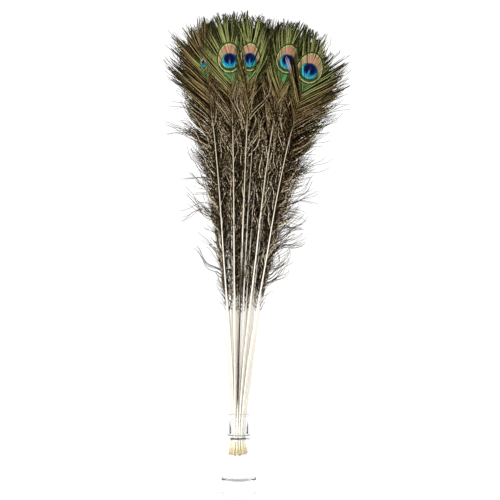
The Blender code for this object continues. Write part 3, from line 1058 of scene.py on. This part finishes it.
def place_on_feather(feather, barbs, x, z):
    """Across and along the feather from its eye's middle, in mm of the eye's scale, and the share up it.

    Across is stretched inside the rim of a narrow eye, and along is stretched above a turned eye's disc.
    Barbs without markings count as UNMARKED metres to the side, where nothing is painted.
    """
    dx, dz = x - feather.eye_x + (0.0 if barbs.marked else UNMARKED), z - feather.eye_z
    cos, sin = math.cos(feather.eye_lean), math.sin(feather.eye_lean)
    scale = 1.0 / (feather.eye_scale * MM)
    across, up = (dx * cos - dz * sin) * scale, (dx * sin + dz * cos) * scale
    reach = np.minimum(np.abs(across), RIM_REACH * feather.eye_width)
    across = np.sign(across) * (reach / feather.eye_width + np.abs(across) - reach)
    if feather.eye_width < TURNED_BELOW:
        up = up + (TURNED_CROWN - 1.0) * np.maximum(up - TURNED_FROM, 0.0)
    facts = np.stack([across, up, np.broadcast_to(barbs.share[:, None], x.shape)], -1)
    return np.repeat(facts.reshape(-1, 3), CORNERS, axis=0)


def corner_facts(t, tone, number):
    """The share along each barb, its tone and its random number, for every corner."""
    facts = np.stack([t, tone[:, None] * np.ones_like(t), number[:, None] * np.ones_like(t)], -1)
    return np.repeat(facts.reshape(-1, 3), CORNERS, axis=0)


print("vane ready")

# %% [markdown]
# ## Strays, curls and wisps
# A few barbs in every bunch have been bent: some stand out straight from the edge, some curl over into a
# hook, and short downy wisps grow on the bare quill below the vane. They are the same ribbons with other
# numbers, one row of numbers for each kind.

# %% Strays, curls and wisps
HAIR_STEPS = 9
HAIR_STYLE = {"drift": 4.0 * MM, "twist": 30.0}
BUNCH_SHARE, BUNCH_LEAN, BUNCH_BEND, BUNCH_PHASE, BUNCH_LENGTH = 0.012, 7.0, 22.0, 0.12, 9.0


def hair_families(feather):
    """Strays, curls that turn through a hook, the right side's tangle, the front's inner curls and wisps."""
    outer, right = abs(feather.opening) > EDGE_FROM, feather.opening > 0.4
    front = feather.number < OUTER_FRONT
    return (
        # bunches, barbs in one, shares, lengths in mm, extra leans, bends, wave, width in mm, tones
        (6 if outer else 2, 3, (0.12, 0.82), (50, 118), (4, 36), (-50, 45), 12, 1.3, (0.0, 0.5)),
        (7 if front else 4, 1, (0.10, 0.84), (30, 66), (-12, 16), (120, 300), 8, 0.9, (0.05, 0.55)),
        (4 if right else 1, 4, (0.05, 0.45), (50, 100), (15, 58), (-70, 120), 18, 1.3, (0.0, 0.45)),
        (16 if front else 0, 1, (0.42, 0.86), (40, 84), (-38, -8), (-60, 260), 16, 0.9, (0.0, 0.6)),
        (5, 1, (-0.05, 0.05), (14, 34), (0, 24), (-80, 60), 20, 1.1, (0.0, 0.5)),
    )


def add_hairs(shape, feather, chance):
    """A hair turns from the shaft by angle - bend * max(t - 0.25, 0) + wave * sin(2 pi (1.5 t + phase))."""
    for bunches, size, shares, lengths, leans, bends, wave, width, tones in hair_families(feather):
        count = bunches * size

        def drawn(low, high, apart):
            """One draw a bunch, with its barbs up to apart away from it."""
            bunch = np.repeat(chance.uniform(low, high, bunches), size)
            return bunch + apart * chance.uniform(-1, 1, count)

        share = drawn(*shares, BUNCH_SHARE * (size > 1))
        angle = np.interp(share, BARB_SHARES, BARB_ANGLES) + drawn(*leans, BUNCH_LEAN)
        bend, phase = drawn(*bends, BUNCH_BEND), drawn(0.0, 1.0, BUNCH_PHASE)
        t = (np.arange(HAIR_STEPS) + 0.5) / HAIR_STEPS
        turn = angle[:, None] - bend[:, None] * np.maximum(t - 0.25, 0.0)
        turn = turn + wave * np.sin(2 * np.pi * (1.5 * t + phase[:, None]))
        barbs = Barbs(
            side=np.repeat(chance.choice([-1.0, 1.0], bunches), size), share=share, turn=turn,
            length=MM * drawn(*lengths, BUNCH_LENGTH), tone=chance.uniform(*tones, count),
            width=np.full(count, width * MM), middle=np.arange(count), gather=np.zeros(count), marked=False,
        )
        add_barbs(shape, feather, chance, barbs.finish(feather, chance, HAIR_STYLE))


print("hairs of one front feather:", sum(kind[0] * kind[1] for kind in hair_families(feathers[0])))

# %% [markdown]
# ## Finish: the eye
# From the outside in, the real eye is a pale gold rim, a thin dark line, a copper field above, a bright
# turquoise disc and a violet-blue heart with a notch below. Each is an ellipse round its own middle: the
# distance sqrt((a/ra)^2 + ((b-b0)/rb)^2) is under 1 inside it. The colours are laid one over the other, and
# each is darker in some barbs than in others, so that the single barbs still show.

# %% Finish: the eye
EYE_RINGS = {  # the middle along, half across and half along, in mm, and how much slimmer the top is
    "rim": (3.1, 20.5, 25.6, 0.08),
    "disc": (-2.3, 14.6, 13.6),
    "heart": (1.2, 10.6, 9.8),
    "violet": (3.0, 5.0, 4.0),
    "blush": (17.5, 12.0, 8.0),
    "notch": (-6.0, 2.4, 7.5),
}
EYE_COLOURS = {  # in the darkest barbs and in the palest ones
    "olive": ((0.03, 0.045, 0.008), (0.24, 0.29, 0.08)),
    "gold": ((0.32, 0.34, 0.11), (0.66, 0.66, 0.34)),
    "copper": ((0.22, 0.155, 0.07), (0.48, 0.35, 0.20)),
    "pink": ((0.45, 0.14, 0.09), (0.68, 0.28, 0.20)),
    "deep_blue": ((0.003, 0.030, 0.10), (0.005, 0.09, 0.20)),
    "azure": ((0.004, 0.12, 0.34), (0.025, 0.31, 0.56)),
    "turquoise": ((0.015, 0.24, 0.20), (0.10, 0.55, 0.43)),
}
DARK_LINE, BELOW_DISC, BESIDE_DISC = (0.018, 0.022, 0.003), (0.045, 0.035, 0.008), (0.05, 0.13, 0.035)
DISC_EDGE, NIGHT_BLUE, NIGHT_CORE = (0.006, 0.10, 0.07), (0.003, 0.022, 0.12), (0.002, 0.004, 0.022)
VIOLET_CORE, NOTCH_BLUE = (0.025, 0.008, 0.085), (0.04, 0.27, 0.56)


def ellipse(graph, across, along, middle_along, half_across, half_along, narrowing=0.0):
    """The distance from an ellipse's middle, 1 on its edge. With narrowing it is an egg, slim at the top."""
    b = graph.math("DIVIDE", graph.minus(along, middle_along), half_along)
    widths = half_across * (1 + narrowing), half_across * (1 - narrowing)
    a = graph.math("DIVIDE", across, graph.scale(b, -1.0, 1.0, *widths))
    return graph.math("SQRT", graph.plus(graph.times(a, a), graph.times(b, b)))


def eye_group():
    """Across and Along in millimetres give the eye's colour, and a mask that is 1 inside its rim."""
    outputs = {"Color": "NodeSocketColor", "Mask": "NodeSocketFloat"}
    tree, graph, given, result = new_group("peacock_eye", ("Across", "Along", "Streak"), outputs)
    across, along, streak = given["Across"], given["Along"], given["Streak"]
    ring = {name: ellipse(graph, across, along, *form) for name, form in EYE_RINGS.items()}
    tint = {
        name: graph.mix(streak, colour(*dark), colour(*pale)) for name, (dark, pale) in EYE_COLOURS.items()}

    def over(shown, name, outside, inside, paint, share=1.0):
        """Lays a colour over another inside a ring."""
        mask = graph.smooth(ring[name], outside, inside)
        return graph.mix(mask if share == 1.0 else graph.times(mask, share), shown, paint)

    shown = over(tint["olive"], "rim", 1.16, 1.09, colour(*DARK_LINE))
    shown = over(shown, "rim", 1.04, 1.00, tint["gold"])
    copper = over(tint["copper"], "blush", 1.2, 0.3, tint["pink"], 0.6)
    under = over(colour(*BELOW_DISC), "disc", 1.12, 1.35, colour(*BESIDE_DISC))
    shown = over(shown, "rim", 0.98, 0.94, graph.mix(graph.smooth(along, -9.0, 3.0), under, copper))
    shown = over(shown, "disc", 1.08, 1.0, colour(*DISC_EDGE))
    low = graph.smooth(graph.plus(along, graph.times(across, 0.45)), 8.0, -6.0)
    crescent = over(tint["azure"], "disc", 0.62, 0.90, tint["turquoise"])
    shown = over(shown, "disc", 1.0, 0.92, graph.mix(low, tint["deep_blue"], crescent))
    core = over(colour(*NIGHT_BLUE), "heart", 1.0, 0.55, colour(*NIGHT_CORE))
    core = over(core, "violet", 1.2, 0.2, colour(*VIOLET_CORE), 0.8)
    shown = over(shown, "heart", 1.12, 0.88, core)
    shown = over(shown, "notch", 1.1, 0.4, colour(*NOTCH_BLUE), 0.75)
    graph.fill(result.inputs["Color"], shown)
    graph.fill(result.inputs["Mask"], graph.smooth(ring["rim"], 1.24, 1.12))
    return tree


eye_tree = eye_group()
print("eye group:", len(eye_tree.nodes), "nodes")

# %% [markdown]
# ## Finish: the tone of a barb
# A barb's tone is partly painted light and shade. Most barbs are painted nearly black, as the shade between
# their neighbours, and a strand's crest shows a painted pale streak, as if it caught the light, brighter in
# some strands than in others at random. The tone goes from black over half lit to lit, which paints shaded
# and lit versions of each colour, and is broken up by painted patches of light and shade, as if barbules
# turned to and from the light. Low on the feather the lit tone is tan, near the eye it is olive green, the
# roots of low barbs are dark, and the fringe above the eye ends in black-green tips.


# %% Finish: the tone of a barb
# Shaded and half lit brown with tan as its lit colour, and shaded, half lit and lit olive: painted light,
# three tones of each colour.
BROWN_TONES = (0.0045, 0.0018, 0.0003), (0.17, 0.108, 0.042)
TAN_HIGH, TAN_LOW = (0.29, 0.220, 0.098), (0.96, 0.82, 0.62)
OLIVE_TONES = (0.004, 0.0045, 0.0003), (0.095, 0.105, 0.028), (0.30, 0.325, 0.12)
# The colour of the painted sheen, and that of the black-green tips.
LILAC_SHEEN, TIP_BLACK = (0.34, 0.30, 0.38), (0.020, 0.025, 0.008)
PATCHES, CONTRAST = 340.0, 2.4
FRINGE_MIDDLE = 0.03


def three_tones(graph, bright, dark, half_lit, lit):
    """Painted light and shade: a colour that goes from dark over half lit to lit as bright goes from 0 to 1.
    """
    first = graph.mix(graph.scale(bright, 0.0, 0.3, 0.0, 1.0), dark, half_lit)
    return graph.mix(graph.smooth(bright, 0.2, 1.0), first, lit)


def tone_group():
    """A barb's colour from its tone, a random number, the share along it, its height and how green it is.

    A tone above 1.2 marks a barb with a painted pale violet sheen near its tip: what is over 0.85 is its own
    tone.
    """
    tree, graph, given, result = new_group(
        "barb_tone", ("Tone", "Number", "Along barb", "Height", "Green"),
        {"Color": "NodeSocketColor", "Streak": "NodeSocketFloat"})
    height, along_barb, here = given["Height"], given["Along barb"], graph.here()
    sheen_barbs = graph.smooth(given["Tone"], 1.2, 1.3)
    tone = graph.minus(given["Tone"], graph.times(sheen_barbs, 0.85))
    # Painted patches of light and shade, as if barbules turned to and from the light: strong low on the
    # bunch and faint near its top.
    patches = graph.scale(graph.noise(here, PATCHES, 1.0), 0.36, 0.64, -0.50, 0.55)
    tone = graph.plus(tone, graph.times(patches, graph.scale(height, 0.62, 0.86, 0.92, 0.18)))
    root = graph.times(graph.smooth(along_barb, 0.30, 0.03), graph.smooth(height, 0.82, 0.62))
    tone = graph.times(tone, graph.scale(root, 0.0, 1.0, 1.05, 0.35))
    bright = graph.math("POWER", graph.math("MAXIMUM", tone, 0.0), CONTRAST)
    tan = graph.mix(graph.smooth(height, 0.85, 0.35), colour(*TAN_HIGH), colour(*TAN_LOW))
    brown = three_tones(graph, bright, *(colour(*step) for step in BROWN_TONES), tan)
    olive = three_tones(graph, bright, *(colour(*step) for step in OLIVE_TONES))
    # Painted sheen: such barbs turn lilac grey from 0.7 of their length on, as if they caught the light.
    sheen = graph.times(sheen_barbs, graph.smooth(along_barb, 0.70, 0.80))
    mixed = graph.mix(sheen, graph.mix(given["Green"], brown, olive), colour(*LILAC_SHEEN))
    place = graph.axes(here)
    aside = graph.math("ABSOLUTE", graph.minus(place["X"], FRINGE_MIDDLE))
    rim = graph.math("MAXIMUM", graph.smooth(place["Z"], 0.95, 0.995), graph.smooth(aside, 0.085, 0.125))
    black = graph.times(graph.smooth(along_barb, 0.68, 0.98), graph.scale(rim, 0.0, 1.0, 0.35, 1.0))
    black = graph.times(black, graph.minus(0.85, sheen))
    graph.fill(result.inputs["Color"], graph.mix(black, mixed, colour(*TIP_BLACK)))
    seed = graph.times(given["Number"], 977.0)
    streak = graph.node("ShaderNodeTexWhiteNoise", {"W": seed}, noise_dimensions="1D")
    graph.fill(result.inputs["Streak"], streak.outputs["Value"])
    return tree


tone_tree = tone_group()
print("tone group:", len(tone_tree.nodes), "nodes")

# %% [markdown]
# ## Finish: vane, front and back
# The front of a barb shows the eye and the emerald patch under it. The back is the dull side. Both use the
# same tone group. The fine barbules are a bump of narrow waves across the barb.

# %% Finish: vane, front and back
BARBULES = 170.0
EMERALD = (0.02, 0.13, 0.04), (0.06, 0.33, 0.12)
DULL_BROWN = (0.06, 0.043, 0.026)


def use_group(graph, tree, **inputs):
    """A node group placed in a material, with its inputs filled: its outputs."""
    named = {name.replace("_", " "): value for name, value in inputs.items()}
    return graph.node("ShaderNodeGroup", named, node_tree=tree).outputs


def painted_eye(graph, shown, place, strand, streak):
    """The emerald patch below the eye, then the eye itself, each a little out of step from barb to barb."""
    number = strand["Z"]
    ragged = graph.plus(place["Y"], graph.scale(number, 0.0, 1.0, -7.0, 7.0))
    patch = graph.smooth(ellipse(graph, place["X"], ragged, -26.0, 13.0, 11.0), 1.15, 0.3)
    # The patch is fainter on the barbs whose tone is painted dark as shade.
    patch = graph.times(patch, graph.scale(strand["Y"], 0.1, 0.6, 0.25, 1.0))
    dark, pale = EMERALD
    shown = graph.mix(patch, shown, graph.mix(number, colour(*dark), colour(*pale)))
    along = graph.plus(place["Y"], graph.scale(number, 0.0, 1.0, -0.8, 0.8))
    eye = use_group(graph, eye_tree, Across=place["X"], Along=along, Streak=streak)
    return graph.mix(eye["Mask"], shown, eye["Color"])


def vane_material(name, bright_side, roughness):
    """One side of a barb. Its bump is waves across it, sin(2 pi * BARBULES * t)."""
    material, graph, surface = new_material(name, Roughness=roughness, Specular_IOR_Level=0.02)
    place = graph.axes(graph.carried("place")["Vector"])
    strand = graph.axes(graph.carried("strand")["Vector"])
    near_eye = graph.smooth(ellipse(graph, place["X"], place["Y"], 25.0, 50.0, 78.0), 1.25, 0.6)
    green = graph.plus(near_eye, graph.scale(strand["Z"], 0.0, 1.0, -0.3, 0.3))
    barb = use_group(graph, tone_tree, Tone=strand["Y"], Number=strand["Z"], Along_barb=strand["X"],
                     Height=place["Z"], Green=graph.smooth(green, 0.1, 0.9))
    if bright_side:
        shown = painted_eye(graph, barb["Color"], place, strand, barb["Streak"])
    else:
        shown = graph.mix(0.35, barb["Color"], colour(*DULL_BROWN))
    graph.fill(surface.inputs["Base Color"], shown)
    wave = graph.math("SINE", graph.times(strand["X"], 2 * math.pi * BARBULES))
    graph.bump(surface, wave, 0.25, 0.0002)
    return material


vane_front = vane_material("vane_front", True, 0.45)
vane_back = vane_material("vane_back", False, 0.6)
print("vane materials ready")

# %% [markdown]
# ## Finish: shafts
# Horn is nearly white along the open shaft, yellow and glassy at the cut end, and brown inside the eye. The
# place attribute's first number is the share up the vane, which is negative on the bare quill. Long thin
# noise gives the grain, and one quill at the front has a dark brown stripe.

# %% Finish: shafts
HORN = {  # in the darkest grain and in the palest
    "cream": ((0.84, 0.79, 0.66), (0.98, 0.96, 0.90)),
    "dull": ((0.42, 0.36, 0.25), (0.78, 0.73, 0.60)),
    "cut_end": ((0.56, 0.43, 0.20), (0.86, 0.77, 0.50)),
    "brown": ((0.10, 0.055, 0.03), (0.28, 0.19, 0.10)),
}
HORN_SHADE, STRIPE_BROWN = (0.13, 0.085, 0.05), (0.030, 0.008, 0.004)


def shaft_material():
    """Horn along its length, with painted shade where it turns away, and the dark brown stripe on one quill.
    """
    material, graph, surface = new_material("feather_shaft", Roughness=0.45, Specular_IOR_Level=0.2)
    place, here = graph.axes(graph.carried("place")["Vector"]), graph.here()
    stretched = graph.node("ShaderNodeMapping", {"Vector": here, "Scale": (900.0, 900.0, 14.0)}).outputs[0]
    grain = graph.noise(stretched, 1.0, 3.0)
    horn = {name: graph.mix(grain, colour(*dark), colour(*pale)) for name, (dark, pale) in HORN.items()}
    height = graph.axes(here)["Z"]
    shown = graph.mix(graph.smooth(height, 0.52, 0.68), horn["cream"], horn["dull"])
    # Painted shade: the quill's sides, where it turns away from the front, are darkened towards HORN_SHADE,
    # more so higher up.
    edge = graph.smooth(graph.math("ABSOLUTE", place["Y"]), 0.95, 0.6)
    edge = graph.times(edge, graph.scale(height, 0.40, 0.48, 0.4, 0.7))
    shown = graph.mix(edge, shown, colour(*HORN_SHADE))
    shown = graph.mix(graph.smooth(height, 0.122, 0.100), shown, horn["cut_end"])
    shown = graph.mix(graph.smooth(place["X"], 0.62, 0.86), shown, horn["brown"])
    stripe = graph.times(place["Z"], graph.smooth(place["Y"], 0.25, 0.60))
    ends = graph.times(graph.smooth(height, 0.56, 0.46), graph.smooth(height, 0.175, 0.215))
    shown = graph.mix(graph.times(stripe, ends), shown, colour(*STRIPE_BROWN))
    graph.fill(surface.inputs["Base Color"], shown)
    graph.bump(surface, grain, 0.3, 0.0003)
    return material


shaft_finish = shaft_material()
print("shaft material ready")

# %% [markdown]
# ## The feathers
# Now every feather is one object: shaft and vane in one mesh, with three finishes. The feathers deep inside
# the bunch get fewer barbs, because they only fill the gaps between the others. Three of the front feathers
# also have a narrow lock that has slipped across the eye on their left.

# %% The feathers
LOWEST_SHARE, LOWEST_VARIES = -0.03, 0.07
# The feather whose quill has a dark brown stripe down its front.
STRIPED_QUILL = 2
INNER_SHARE = 0.5
TINTS_FROM = (-0.26, 0.2)
COVERS = {  # number: how many, root height, spread, angles, length, marked, tones from the lowest barb up
    # Feather 1's lowest barbs get tone 1.4, which paints a lilac sheen at their tips.
    1: (22, 847.0 * MM, 16.0 * MM, (22.5, 33.5), 98.0 * MM, False, (1.4, 0.02, 0.35)),
    2: (16, 850.0 * MM, 14.0 * MM, (9.0, 15.5), 104.0 * MM, False, (0.45, 0.1, 0.5)),
    4: (18, 893.0 * MM, 20.0 * MM, (37.0, 43.0), 98.0 * MM, True, (0.45, 0.75, 0.45)),
}


def add_cover(shape, feather, chance):
    """A lock of barbs from the left side that stands across the neighbour's eye, in up to three tones."""
    count, root, spread, angles, length, marked, tones = COVERS[feather.number]
    order = np.linspace(-0.5, 0.5, count)
    share = (root + spread * order - LOWEST_BARB) / (feather.shaft_end - LOWEST_BARB)
    t = (np.arange(CLOSE["steps"]) + 0.5) / CLOSE["steps"]
    barbs = Barbs(
        side=np.full(count, -1.0), share=share, length=length * chance.uniform(0.88, 1.03, count),
        turn=np.linspace(*angles[::-1], count)[:, None] - 5.0 * (0.5 - t),
        tone=np.select([order < place for place in TINTS_FROM], tones[:2], tones[2]),
        width=np.full(count, 1.7 * MM),
        middle=np.arange(count), gather=np.zeros(count), marked=marked, over_eyes=True,
    )
    add_barbs(shape, feather, chance, barbs.finish(feather, chance, CLOSE))


def build_feather(feather):
    """The shaft, the zones of barbs from the lowest up, the hairs and any cover, as one object."""
    chance = np.random.default_rng(100 + feather.number)
    shape = Shape()
    add_shaft(shape, feather, 1.0 if feather.number == STRIPED_QUILL else 0.0)
    inner = OUTER_FRONT < feather.number < OUTER_BACK
    thinned = INNER_SHARE if inner else 1.0
    start = LOWEST_SHARE + LOWEST_VARIES * chance.uniform() ** 2
    for style in (LOOSE, CLOSE, EYE, CROWN):
        barbs = lay_barbs(feather, chance, style, max(start, style["from"]), thinned)
        add_barbs(shape, feather, chance, barbs)
    add_hairs(shape, feather, chance)
    if feather.number in COVERS:
        add_cover(shape, feather, chance)
    materials = (shaft_finish, vane_front, vane_back)
    return shape.piece(f"plume_{feather.number:02d}", materials, "feather", feather.node)


plumes = [build_feather(feather) for feather in feathers]
triangles = sum(len(plume.data.loops) - 2 * len(plume.data.polygons) for plume in plumes)
print(len(plumes), "plumes,", triangles, "triangles")

# %% [markdown]
# ## The vase
# A bottle vase is blown or pressed round an axis, so it is a profile turned once round. The profile runs up
# the outside, over the lip and down the inside to the thick glass base. With 96 sides and smooth shading it
# has no flats to break up what is seen through it.

# %% The vase
BODY_RADIUS, HEEL_RADIUS, GLASS_BASE = 37.5 * MM, 8.0 * MM, 34.0 * MM
SHOULDER_TOP, SHOULDER_RADIUS, NECK_RADIUS = 133.0 * MM, 17.0 * MM, 20.4 * MM
VASE_HEIGHT, LIP_RADIUS, LIP_FLARE, LIP_EDGE = 176.0 * MM, 21.6 * MM, 6.0 * MM, 2.0 * MM
WALL, NECK_WALL, NECK_FILLET = 3.0 * MM, 2.0 * MM, 3.0 * MM
VASE_SIDES = 96
CLEAR_SHADOW = 0.1


def arc(centre_r, centre_z, radius, start, end, steps=12):
    """Points (radius, height) of a round corner, angles in degrees from outwards."""
    turn = np.radians(np.linspace(start, end, steps))
    return np.stack([centre_r + radius * np.cos(turn), centre_z + radius * np.sin(turn)], -1)


def vase_profile():
    """(radius, height) from the foot's middle up the outside, over the lip and down inside to the floor."""
    shoulder_z = SHOULDER_TOP - SHOULDER_RADIUS
    shoulder_r = BODY_RADIUS - SHOULDER_RADIUS
    bore = NECK_RADIUS - NECK_WALL
    lip = LIP_EDGE / 2
    return np.concatenate([
        arc(BODY_RADIUS - HEEL_RADIUS, HEEL_RADIUS, HEEL_RADIUS, -90, 0),
        arc(shoulder_r, shoulder_z, SHOULDER_RADIUS, 0, 84),
        arc(NECK_RADIUS + NECK_FILLET, SHOULDER_TOP + NECK_FILLET, NECK_FILLET, 250, 180, 8),
        [(NECK_RADIUS, VASE_HEIGHT - LIP_FLARE)],
        arc(LIP_RADIUS - lip, VASE_HEIGHT - lip, lip, -30, 180, 10),
        [(bore, VASE_HEIGHT - LIP_FLARE), (bore, SHOULDER_TOP - WALL + MM)],
        arc(shoulder_r, shoulder_z, SHOULDER_RADIUS - WALL, 82, 0),
        arc(BODY_RADIUS - WALL - HEEL_RADIUS, GLASS_BASE + HEEL_RADIUS, HEEL_RADIUS, 0, -90),
    ])


def turned(profile, sides):
    """Points (r cos a, r sin a, z) for each profile point, with a pole at both ends of the profile."""
    turn = np.linspace(0.0, 2 * np.pi, sides, endpoint=False)
    r, z = profile[:, 0][:, None], profile[:, 1][:, None]
    rings = np.stack([r * np.cos(turn), r * np.sin(turn), z * np.ones(sides)], -1).reshape(-1, 3)
    poles = np.array([(0.0, 0.0, profile[0, 1]), (0.0, 0.0, profile[-1, 1])])
    ring, count = np.arange(sides), len(rings)
    after = (ring + 1) % sides
    last = count - sides
    start = np.stack([np.full(sides, count), after, ring], -1)
    end = np.stack([np.full(sides, count + 1), last + ring, last + after], -1)
    return np.concatenate([rings, poles]), [grid_quads(len(profile), sides), start, end]


def glass_material():
    """Clear glass, a little uneven, that casts only a faint shadow."""
    material, graph, surface = new_material(
        "clear_glass", Roughness=0.02, IOR=1.46, Transmission_Weight=1.0,
        Base_Color=colour(0.985, 0.995, 0.99))
    graph.bump(surface, graph.noise(graph.here(), 45.0, 1.0), 0.15, 0.0006)
    shadow = graph.node("ShaderNodeLightPath", {}).outputs["Is Shadow Ray"]
    graph.fill(surface.inputs["Alpha"], graph.scale(shadow, 0.0, 1.0, 1.0, CLEAR_SHADOW))
    return material


def build_vase():
    """The profile turned round the axis, in clear glass."""
    shape = Shape()
    points, faces = turned(vase_profile(), VASE_SIDES)
    shape.add(points, [(rows, 0) for rows in faces])
    return shape.piece("bottle_vase", (glass_material(),), "glass", "vase")


vase = build_vase()
print("vase:", len(vase.data.polygons), "faces")

# %% [markdown]
# ## The thread
# Three turns of dark thread hold the quills just below the neck, inside the glass, with a knot on the right
# and two short tails. The turns are one helix round the bundle, and its radius swells a little over each
# corner of the hexagon of quills.

# %% The thread
TIE_HEIGHT, THREAD = 124.0 * MM, 1.3 * MM
THREAD_TURNS, THREAD_GAP = 3, 0.3 * MM
TIE_INNER = (BUNDLE_RADIUS + QUILL_WIDTH / 2 + THREAD_GAP) / math.cos(math.pi / 24)
KNOT_RADIUS = 1.7 * MM
KNOT_LOOPS = ((1.0, 0.35, 0.2), (0.35, 1.0, -0.2))
TAIL_LENGTH, TAIL_RISES, TAIL_TURNS = 11.0 * MM, (1.5 * MM, -5.0 * MM), (6.0, 20.0)


def helix():
    """The winding's line: radius r(a) = inner + thread / 2, height rising one thread for each turn."""
    turn = np.linspace(0.0, 2 * np.pi * THREAD_TURNS, 40 * THREAD_TURNS)
    radius = TIE_INNER + THREAD / 2 + 0.15 * MM * np.cos(6 * turn)
    z = TIE_HEIGHT + THREAD * (turn / (2 * np.pi) - THREAD_TURNS / 2)
    return np.stack([BUNDLE_OFFSET + radius * np.cos(turn), radius * np.sin(turn), z], -1)


def thread_material():
    """Dark fibres, with the twist of the plies as waves along the thread, sin(900 * length)."""
    material, graph, surface = new_material("dark_thread", Roughness=0.85)
    fibre = graph.noise(graph.here(), 1600.0, 2.0)
    twist = graph.math("SINE", graph.times(graph.carried("strand")["Fac"], 900.0))
    tone = graph.mix(fibre, colour(0.035, 0.032, 0.026), colour(0.16, 0.145, 0.11))
    graph.fill(surface.inputs["Base Color"], tone)
    graph.bump(surface, graph.plus(fibre, graph.times(twist, 0.6)), 0.6, 0.0003)
    return material


def add_tube(shape, path, radii, sides, reference):
    """A tube whose strand value is the length along it, in metres, for the twist of its plies."""
    points, faces = tube(path, radii, sides, reference)
    length = np.concatenate([[0.0], np.cumsum(np.linalg.norm(np.diff(path, axis=0), axis=1))])
    facts = np.repeat(length, sides)[:, None] * np.ones(3)
    shape.add(points, [(rows, 0) for rows in faces], strand=facts)


def build_thread():
    """The winding, a knot of two crossing loops on its right, and two tails that thin out from the knot."""
    shape = Shape()
    winding = helix()
    add_tube(shape, winding, np.full(len(winding), THREAD / 2), 8, (0.0, 0.0, 1.0))
    knot = np.array([BUNDLE_OFFSET + TIE_INNER + THREAD, 0.0, TIE_HEIGHT])
    turn = np.linspace(0.0, 2 * np.pi * 0.94, 22)
    for over, up, lean in KNOT_LOOPS:
        out = 0.25 * np.sin(2 * turn) + lean * np.cos(turn)
        ring = np.stack([out, over * np.cos(turn), up * np.sin(turn)], -1)
        add_tube(shape, knot + KNOT_RADIUS * 0.62 * ring, np.full(22, THREAD * 0.45), 7, (1.0, 0.3, 0.2))
    t = np.linspace(0.0, 1.0, 14)
    for rise_by, degrees in zip(TAIL_RISES, TAIL_TURNS):
        out = np.array([math.cos(math.radians(degrees)), -math.sin(math.radians(degrees)), 0.0])
        path = knot + t[:, None] * TAIL_LENGTH * out
        path[:, 2] += rise_by * t**1.4 + 0.6 * MM * np.sin(np.pi * t)
        add_tube(shape, path, THREAD * (0.46 - 0.28 * t**3), 7, (0.0, 0.0, 1.0))
    return shape.piece("thread_tie", (thread_material(),), "thread", "tie")


thread = build_thread()
print("thread:", len(thread.data.polygons), "faces")

# %% [markdown]
